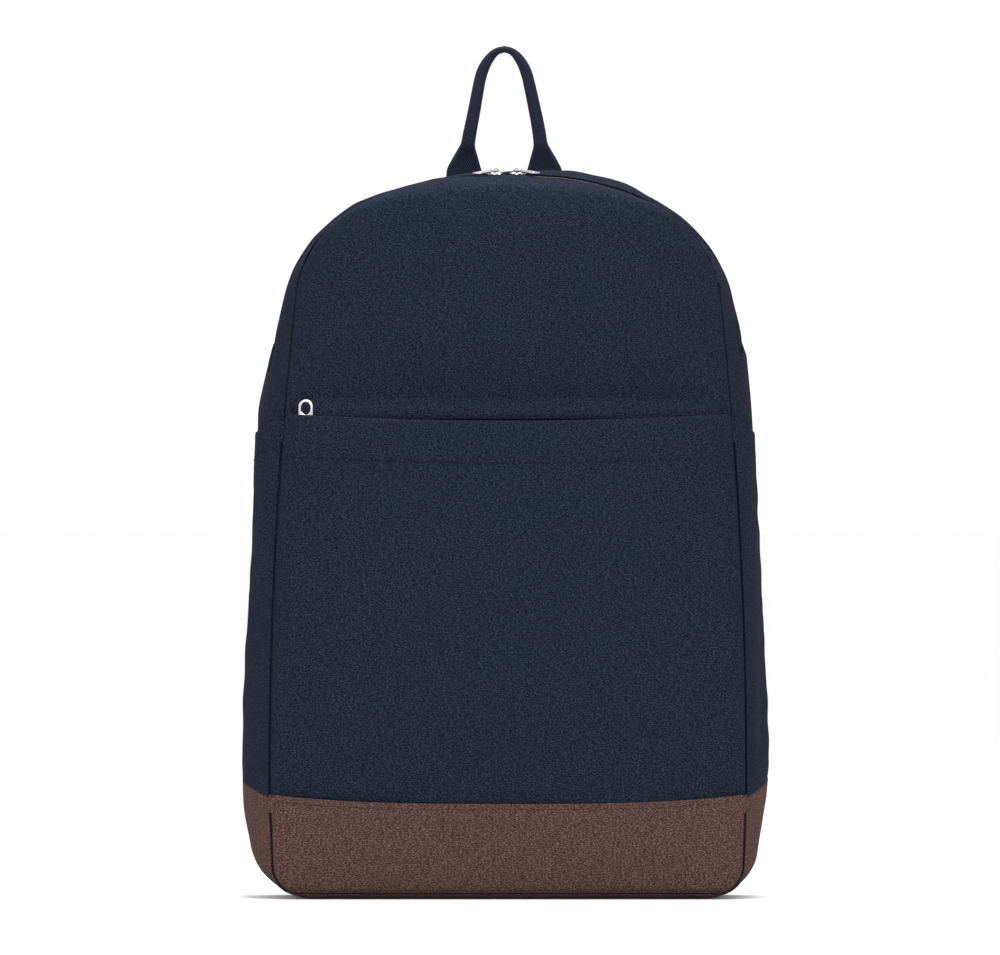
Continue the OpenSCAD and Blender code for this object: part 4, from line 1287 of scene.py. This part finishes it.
def make_back():
    # outer back cloth, sewn round its edge
    x, z = back_grid(120, 150, 0.0)
    d = seam_distance(x, z, BackLine(0.0))
    y = 42.0 - seam_fall(d, 2.2, 2.0)
    p = np.stack([x, y, z], -1)
    p[..., 1] += ramp(d / 14) * 0.4 * waves(p, 60, 81)
    obj = cloth("back_cloth", p, 1.4)
    finish_piece(obj, "bag", [NAVY, LINING], ("back_panel", "back_pad_foam"))
    # padded mesh panel with sewn channels
    x, z = back_grid(56, 80, PAD_INSET)
    d = seam_distance(x, z, BackLine(PAD_INSET))
    crown = 1.6 + 4.6 * ramp(d / 16)
    face = np.stack([x, 41.5 + crown, z], -1)
    rear = np.stack([x, np.full(x.shape, 41.2), z], -1)
    obj = closed_form("back_pad", face, rear)
    swell_cloth(obj, 5.0, 3.0, 3.0)
    v = vertex_values(obj.data) / MM
    outside = np.abs(v[:, 0]) > CHANNEL_X
    depth = groove_at(np.abs(v[:, 0]) - CHANNEL_X, 3.6)
    for height in CHANNEL_Z:
        depth = np.maximum(depth, groove_at((v[:, 2] - height) * outside + 99 * ~outside, 3.6))
    v[:, 1] = np.where(v[:, 1] > 42.5, 42.2 + (v[:, 1] - 42.2) * (1 - 0.82 * depth), v[:, 1])
    set_points(obj, v)
    apply_modifier(obj, "SUBSURF", levels=1, render_levels=1)
    finish_piece(obj, "bag", MESH, smooth=180)


def closed_form(name, face, rear):
    """A closed form from a front and a back grid with the same rows and columns."""
    rows, columns = face.shape[0] - 1, face.shape[1] - 1
    a = add_grid(name, columns, rows, face)
    b = add_grid(name + "_rear", columns, rows, rear)
    obj = join_pieces([a, b], name)

    def sew():
        bpy.ops.mesh.select_all(action="DESELECT")
        bpy.ops.mesh.select_non_manifold()
        bpy.ops.mesh.bridge_edge_loops()
        bpy.ops.mesh.select_all(action="SELECT")
        bpy.ops.mesh.normals_make_consistent(inside=False)

    in_edit_mode(obj, sew)
    return obj


STRAP_LINE = [(38, 49.7, 400, 62), (44, 58, 370, 62), (54, 66, 335, 60), (67, 70, 290, 57),
              (80, 69, 245, 53), (91, 64, 200, 49), (98, 58, 162, 45)]


def smooth_line(points, n):
    p = np.asarray(points, float)
    out = []
    for i in range(len(p) - 1):
        a, b, c, d = p[max(i - 1, 0)], p[i], p[i + 1], p[min(i + 2, len(p) - 1)]
        for t in np.arange(n) / n:
            out.append(0.5 * (2 * b + t * (c - a) + t * t * (2 * a - 5 * b + 4 * c - d)
                              + t ** 3 * (3 * b - a - 3 * c + d)))
    out.append(p[-1])
    return np.array(out)


def ribbon_axes(line):
    way = unit(np.gradient(line, axis=0))
    e = unit(np.cross(way, [0.0, 1.0, 0.0]))
    return e, np.cross(e, way)


def mirrored(points, side):
    return np.asarray(points, float) * [side, 1, 1]


def side_bar(name, side, line, across, out, section):
    """A swept bar on one side of the bag."""
    return swept(name, mirrored(line, side), mirrored(across, side), mirrored(out, side), section)


WEB_SECTION = round_section(25, 1.6, 0.7, 28)
TAIL_SECTION = round_section(24.6, 1.5, 0.7, 28)


def make_strap(side, name):
    full = smooth_line(STRAP_LINE, 9)
    line, width = full[:, :3], full[:, 3]
    e, o = ribbon_axes(line)
    k = np.linspace(0, 1, len(line))
    ends = np.minimum(1, k / 0.03) * np.minimum(1, (1 - k) / 0.05)
    a = np.linspace(0, 2 * math.pi, 40, endpoint=False)
    c, sn = np.cos(a), np.sin(a)
    sections = []
    for w, f in zip(width, ends):
        sections.append(np.stack([np.sign(c) * np.abs(c) ** 0.55 * (w / 2 - 2.2) * (0.86 + 0.14 * f ** 0.5),
                                  np.sign(sn) * np.abs(sn) ** 0.8 * (4.6 * (0.45 + 0.55 * f))], -1))
    pad = side_bar("strap_pad_" + name, side, line, e, o, sections)
    swell_cloth(pad, 4.5, 3.5, 3.0)
    apply_modifier(pad, "SUBSURF", levels=1, render_levels=1)
    finish_piece(pad, "strap_" + name, NAVY_BODY,
                 ("strap_foam_" + name, "strap_cover_" + name), smooth=180)
    # binding sewn round both long edges
    bindings = []
    for s in (-1, 1):
        edge = line + e * ((width / 2 - 2.6) * (0.86 + 0.14 * ends ** 0.5))[:, None] * s
        bindings.append(side_bar("strap_binding_part", side, edge, e, o, round_section(4.2, 4.4, 1.5, 14)))
    binding = join_pieces(bindings, "strap_binding_" + name)
    finish_piece(binding, "strap_" + name, WEB, smooth=60)
    # webbing on the outer face, from the middle of the strap down past its end
    tail = np.concatenate([line[36:], [[99.3, 55.4, 156.5], [100.7, 52.6, 150.8]]])
    te, to = ribbon_axes(tail)
    tail_line = tail + to * 6.2
    web = side_bar("strap_web_" + name, side, tail_line, te, to, WEB_SECTION)
    finish_piece(web, "strap_" + name, WEB, ("strap_webbing_" + name,), smooth=60)
    rows, outs = [], []
    for s in (-1, 1):
        rows.append(mirrored(tail_line[:-3] + te[:-3] * 10.6 * s + to[:-3] * 0.95, side))
        outs.append(mirrored(to[:-3], side))
    for at in (1, 3):
        c = tail_line[at] + to[at] * 0.95
        rows.append(mirrored(np.stack([c - te[at] * 10.4, c, c + te[at] * 10.4]), side))
        outs.append(np.tile(mirrored(to[at], side), (3, 1)))
    finish_piece(stitch_row("strap_stitching_" + name, rows, outs), "strap_" + name, THREAD)


def make_adjuster(side, name):
    # ladder lock: a bent plate with three slots
    body = plate("ladder_lock_form_" + name, (34, 3.6, 24), 1.2, 0.5)
    for z, w in ((-5.4, 3.6), (1.2, 3.4), (7.4, 3.6)):
        cutter = plate("lock_slot", (27, 12, w), 0.9, 0.1)
        place_part(cutter, Matrix.Translation((0, 0, z * MM)))
        cut_away(body, cutter)
    lip = plate("lock_lip", (30, 2.4, 5.0), 0.9, 0.5)
    lip_turn = Matrix.Rotation(math.radians(24), 4, "X")
    place_part(lip, Matrix.Translation((0, 2.2 * MM, -9.6 * MM)) @ lip_turn)
    body = join_pieces([body, lip], "ladder_lock_form_" + name)
    lock_turn = Matrix.Rotation(math.radians(6), 4, "Y")
    place_part(body, Matrix.Translation((102.5 * MM, 55.5 * MM, 133 * MM)) @ lock_turn)
    if side < 0:
        body.data.transform(Matrix.Scale(-1, 4, (1, 0, 0)))
    in_edit_mode(body, lambda: bpy.ops.mesh.normals_make_consistent(inside=False))
    finish_piece(body, "adjuster_" + name, LOCK, ("ladder_lock_" + name,), smooth=35)
    # lower webbing, threaded over the lock's bars, and its loose tail
    line = smooth_line([(101.4, 54.2, 137.5), (103, 57.6, 131.5), (104.0, 58.6, 124), (104.8, 59.9, 119),
                        (108, 58.8, 100), (113, 55.8, 78), (117, 51.6, 60), (121, 46.2, 46)], 6)
    e, o = ribbon_axes(line)
    lower = side_bar("lower_web_" + name, side, line, e, o, WEB_SECTION)
    finish_piece(lower, "adjuster_" + name, WEB, ("lower_webbing_" + name,), smooth=60)
    loose = smooth_line([(101.9, 56.6, 139.5), (102.6, 60.2, 138), (104, 62.6, 129), (106, 63.9, 112),
                         (108, 63.0, 94), (110.4, 61.2, 80)], 6)
    e, o = ribbon_axes(loose)
    tail = side_bar("web_tail_" + name, side, loose, e, o, TAIL_SECTION)
    e, o = e[-6:], o[-6:]
    fold = side_bar("web_tail_fold", side, loose[-6:] + o * 1.5, e, o, TAIL_SECTION)
    finish_piece(join_pieces([tail, fold], "web_tail_" + name), "adjuster_" + name, WEB, smooth=60)


def make_anchor(side, name):
    """A folded canvas tab that holds the lower webbing at the bottom corner."""
    corners = [(106, 57), (134, 53), (134, 34), (112, 28)]
    select_only()
    bpy.ops.mesh.primitive_circle_add(vertices=4, radius=1, fill_type="NGON")
    obj = bpy.context.object
    obj.name = "anchor_" + name
    set_points(obj, [(x * side, 44.3, z) for x, z in corners])

    def shape():
        bpy.ops.mesh.subdivide(number_cuts=1)
        bpy.ops.mesh.select_all(action="SELECT")
        bpy.ops.mesh.extrude_region_move(TRANSFORM_OT_translate={"value": (0, -2.2 * MM, 0)})
        bpy.ops.mesh.select_all(action="SELECT")
        bpy.ops.mesh.normals_make_consistent(inside=False)

    in_edit_mode(obj, shape)
    soften(obj, 0.6)
    finish_piece(obj, "bag", NAVY_BODY, ("anchor_tab_" + name,), smooth=40)
    centre = np.mean(corners, 0)
    ring = [centre + (np.array(c) - centre) * 0.82 for c in corners + corners[:1]]
    line = np.array([(x * side, 44.6, z) for x, z in ring])
    finish_piece(stitch_row("anchor_stitching_" + name, [line], [(0, 1, 0)]), "bag", THREAD)


def make_yoke():
    x, z = np.meshgrid(np.linspace(-67, 67, 90), np.linspace(401.5, 413.9, 20))
    t = (z - 401.5) / 12.4
    y = 44.6 - 1.4 * np.exp(-(67 - np.abs(x)) / 1.6) - 1.2 * np.exp(-t * 9) - 1.2 * np.exp(-(1 - t) * 9)
    p = np.stack([x, y, z], -1)
    p[..., 1] += 0.25 * waves(p, 24, 91)
    obj = cloth("yoke_cloth", p, 1.6)
    finish_piece(obj, "bag", [NAVY, NAVY], ("strap_yoke",))
    lines = [np.stack([np.linspace(-64, 64, 60), np.full(60, 44.8), np.full(60, h)], -1)
             for h in (403.6, 411.6)]
    finish_piece(stitch_row("yoke_stitching", lines, [(0, 1, 0)] * 2), "bag", THREAD)


def make_inside():
    # lining over the back foam
    x, z = back_grid(90, 110, 5.0)
    p = np.stack([x, 30.6 + 0.4 * waves(np.stack([x, z], -1), 70, 95), z], -1)
    obj = cloth("back_lining_cloth", p, 1.4, centre=np.array([0.0, 60.0, 215.0]))
    finish_piece(obj, "bag", [LINING, LINING], ("back_lining",))
    # padded laptop sleeve: a stuffed front wall sewn to the back along its sides and bottom
    x, z = np.meshgrid(118 * (2 * ends_dense(44) - 1), 12 + 289 * ends_dense(56))
    edge = np.minimum(118 - np.abs(x), z - 12)
    face = np.stack([x, 20.6 + 4.6 * np.exp(-edge / 6) - 1.0 * ramp(edge / 30), z], -1)
    rear = np.stack([x, np.full(x.shape, 23.2) + 5.0 * np.exp(-edge / 4), z], -1)
    obj = closed_form("sleeve_pad", face, rear)
    swell_cloth(obj, 5.0, 2.0, 1.6)
    apply_modifier(obj, "SUBSURF", levels=1, render_levels=1)
    finish_piece(obj, "bag", LINING_BODY, ("laptop_sleeve",), smooth=180)
    line = np.stack([np.linspace(-118, 118, 90), np.full(90, 21.9), np.full(90, 301.4)], -1)
    obj = swept("sleeve_edge_binding", line, np.tile([0.0, 1, 0], (90, 1)), np.tile([0.0, 0, 1], (90, 1)),
                round_section(6.0, 5.4, 2.0, 18))
    finish_piece(obj, "bag", BROWN, ("sleeve_binding",), smooth=60)
    # tapes over the raw seams
    for name, depth, u_end in (("flap_binding", "front", WIDE.u_at(np.array(312.0))),
                               ("back_binding", "back", WIDE.u_at(np.array(ZIP_END_Z)))):
        k, a = np.meshgrid(np.linspace(0, 1, 9), np.linspace(-1, 1, 240))
        u = np.sign(a) * even(WIDE, 0, float(u_end), np.abs(a))
        y = seam_y(u) + 0.6 + 6.4 * k if depth == "front" else 23.5 + 6.5 * k
        p = gusset(u, y, np.full(u.shape, 2.4) + 0.5 * np.sin(np.pi * k) + 0.4 * (depth == "front"))
        obj = cloth(name, p, 0.7)
        if depth == "front":
            finish_piece(obj, None, [TAPE, TAPE], ("flap_seam_binding",))
            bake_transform(obj)
        else:
            finish_piece(obj, "bag", [TAPE, TAPE], ("back_seam_binding",))
    for o in bpy.context.scene.objects:
        if o.name == "base_board":
            o.data.materials.clear()
            o.data.materials.append(BOARD)


# ---------------------------------------------------------------- assembly
def make_bag():
    make_front_panel()
    points = make_front_pocket()
    make_pocket_facing()
    below = POCKET_TOP - POCKET_SAG - points[:, points.shape[1] // 2, 2]
    row = int(np.argmin(np.abs(below - POCKET_SEAM) + 100 * (np.arange(len(below)) > 110)))
    hem_stitches("front_pocket_stitching", points, [row], "bag", THREAD, "navy_canvas", inset=4)
    make_base_front()
    make_zip_strips()
    for side, name, seed in ((-1, "left", 51), (1, "right", 61)):
        make_side(side, name, seed)
        make_strap(side, name)
        make_adjuster(side, name)
        make_anchor(side, name)
    make_base()
    make_main_zip()
    make_pocket_zip()
    make_sliders()
    make_haul_loop()
    make_back()
    make_yoke()
    make_inside()


# ---------------------------------------------------------------- floor, light and camera
def studio():
    select_only()
    bpy.ops.mesh.primitive_plane_add(size=120.0)
    floor = bpy.context.object
    floor.name = "floor"
    f = Finish("pale_floor", uv=False)
    grain = f.noise(3.0, 3.0)
    pale = f.blend(grain, (0.935, 0.935, 0.935), (0.955, 0.955, 0.955))
    floor.data.materials.append(f.set(Base_Color=pale, Roughness=0.9, Specular_IOR_Level=0.1))
    world = bpy.data.worlds.new("soft_room")
    world.use_nodes = True
    world.node_tree.nodes["Background"].inputs[0].default_value = (1.0, 1.0, 1.0, 1)
    world.node_tree.nodes["Background"].inputs[1].default_value = 1.04
    bpy.context.scene.world = world

    def lamp(name, place, target, size, power):
        light = bpy.data.lights.new(name, "AREA")
        light.shape, light.size, light.energy = "SQUARE", size, power
        obj = bpy.data.objects.new(name, light)
        bpy.context.scene.collection.objects.link(obj)
        way = Vector(target) - Vector(place)
        obj.visible_camera = False
        obj.matrix_world = Matrix.Translation(place) @ way.to_track_quat("-Z", "Y").to_matrix().to_4x4()

    lamp("key", (0.35, -2.0, 1.3), (0, 0, 0.22), 0.8, 19)
    lamp("fill", (-1.6, -1.6, 0.9), (0, 0, 0.22), 1.4, 4)
    lamp("top", (0.1, 0.2, 1.9), (0, 0, 0.3), 1.0, 12)
    lamp("rim", (0.0, -0.05, 1.25), (0, 0, 0.4), 0.45, 10)

    camera = bpy.data.cameras.new("camera")
    obj = bpy.data.objects.new("camera", camera)
    bpy.context.scene.collection.objects.link(obj)
    distance, width = 9.0, 0.6
    camera.sensor_fit, camera.sensor_width = "HORIZONTAL", 36.0
    camera.lens = 36.0 * distance / width
    obj.location = (-0.0048, -distance - 0.03, 0.2523)
    obj.rotation_euler = (math.pi / 2, 0, 0)
    bpy.context.scene.camera = obj
    bpy.context.scene.view_settings.view_transform = "Standard"


make_bag()
studio()
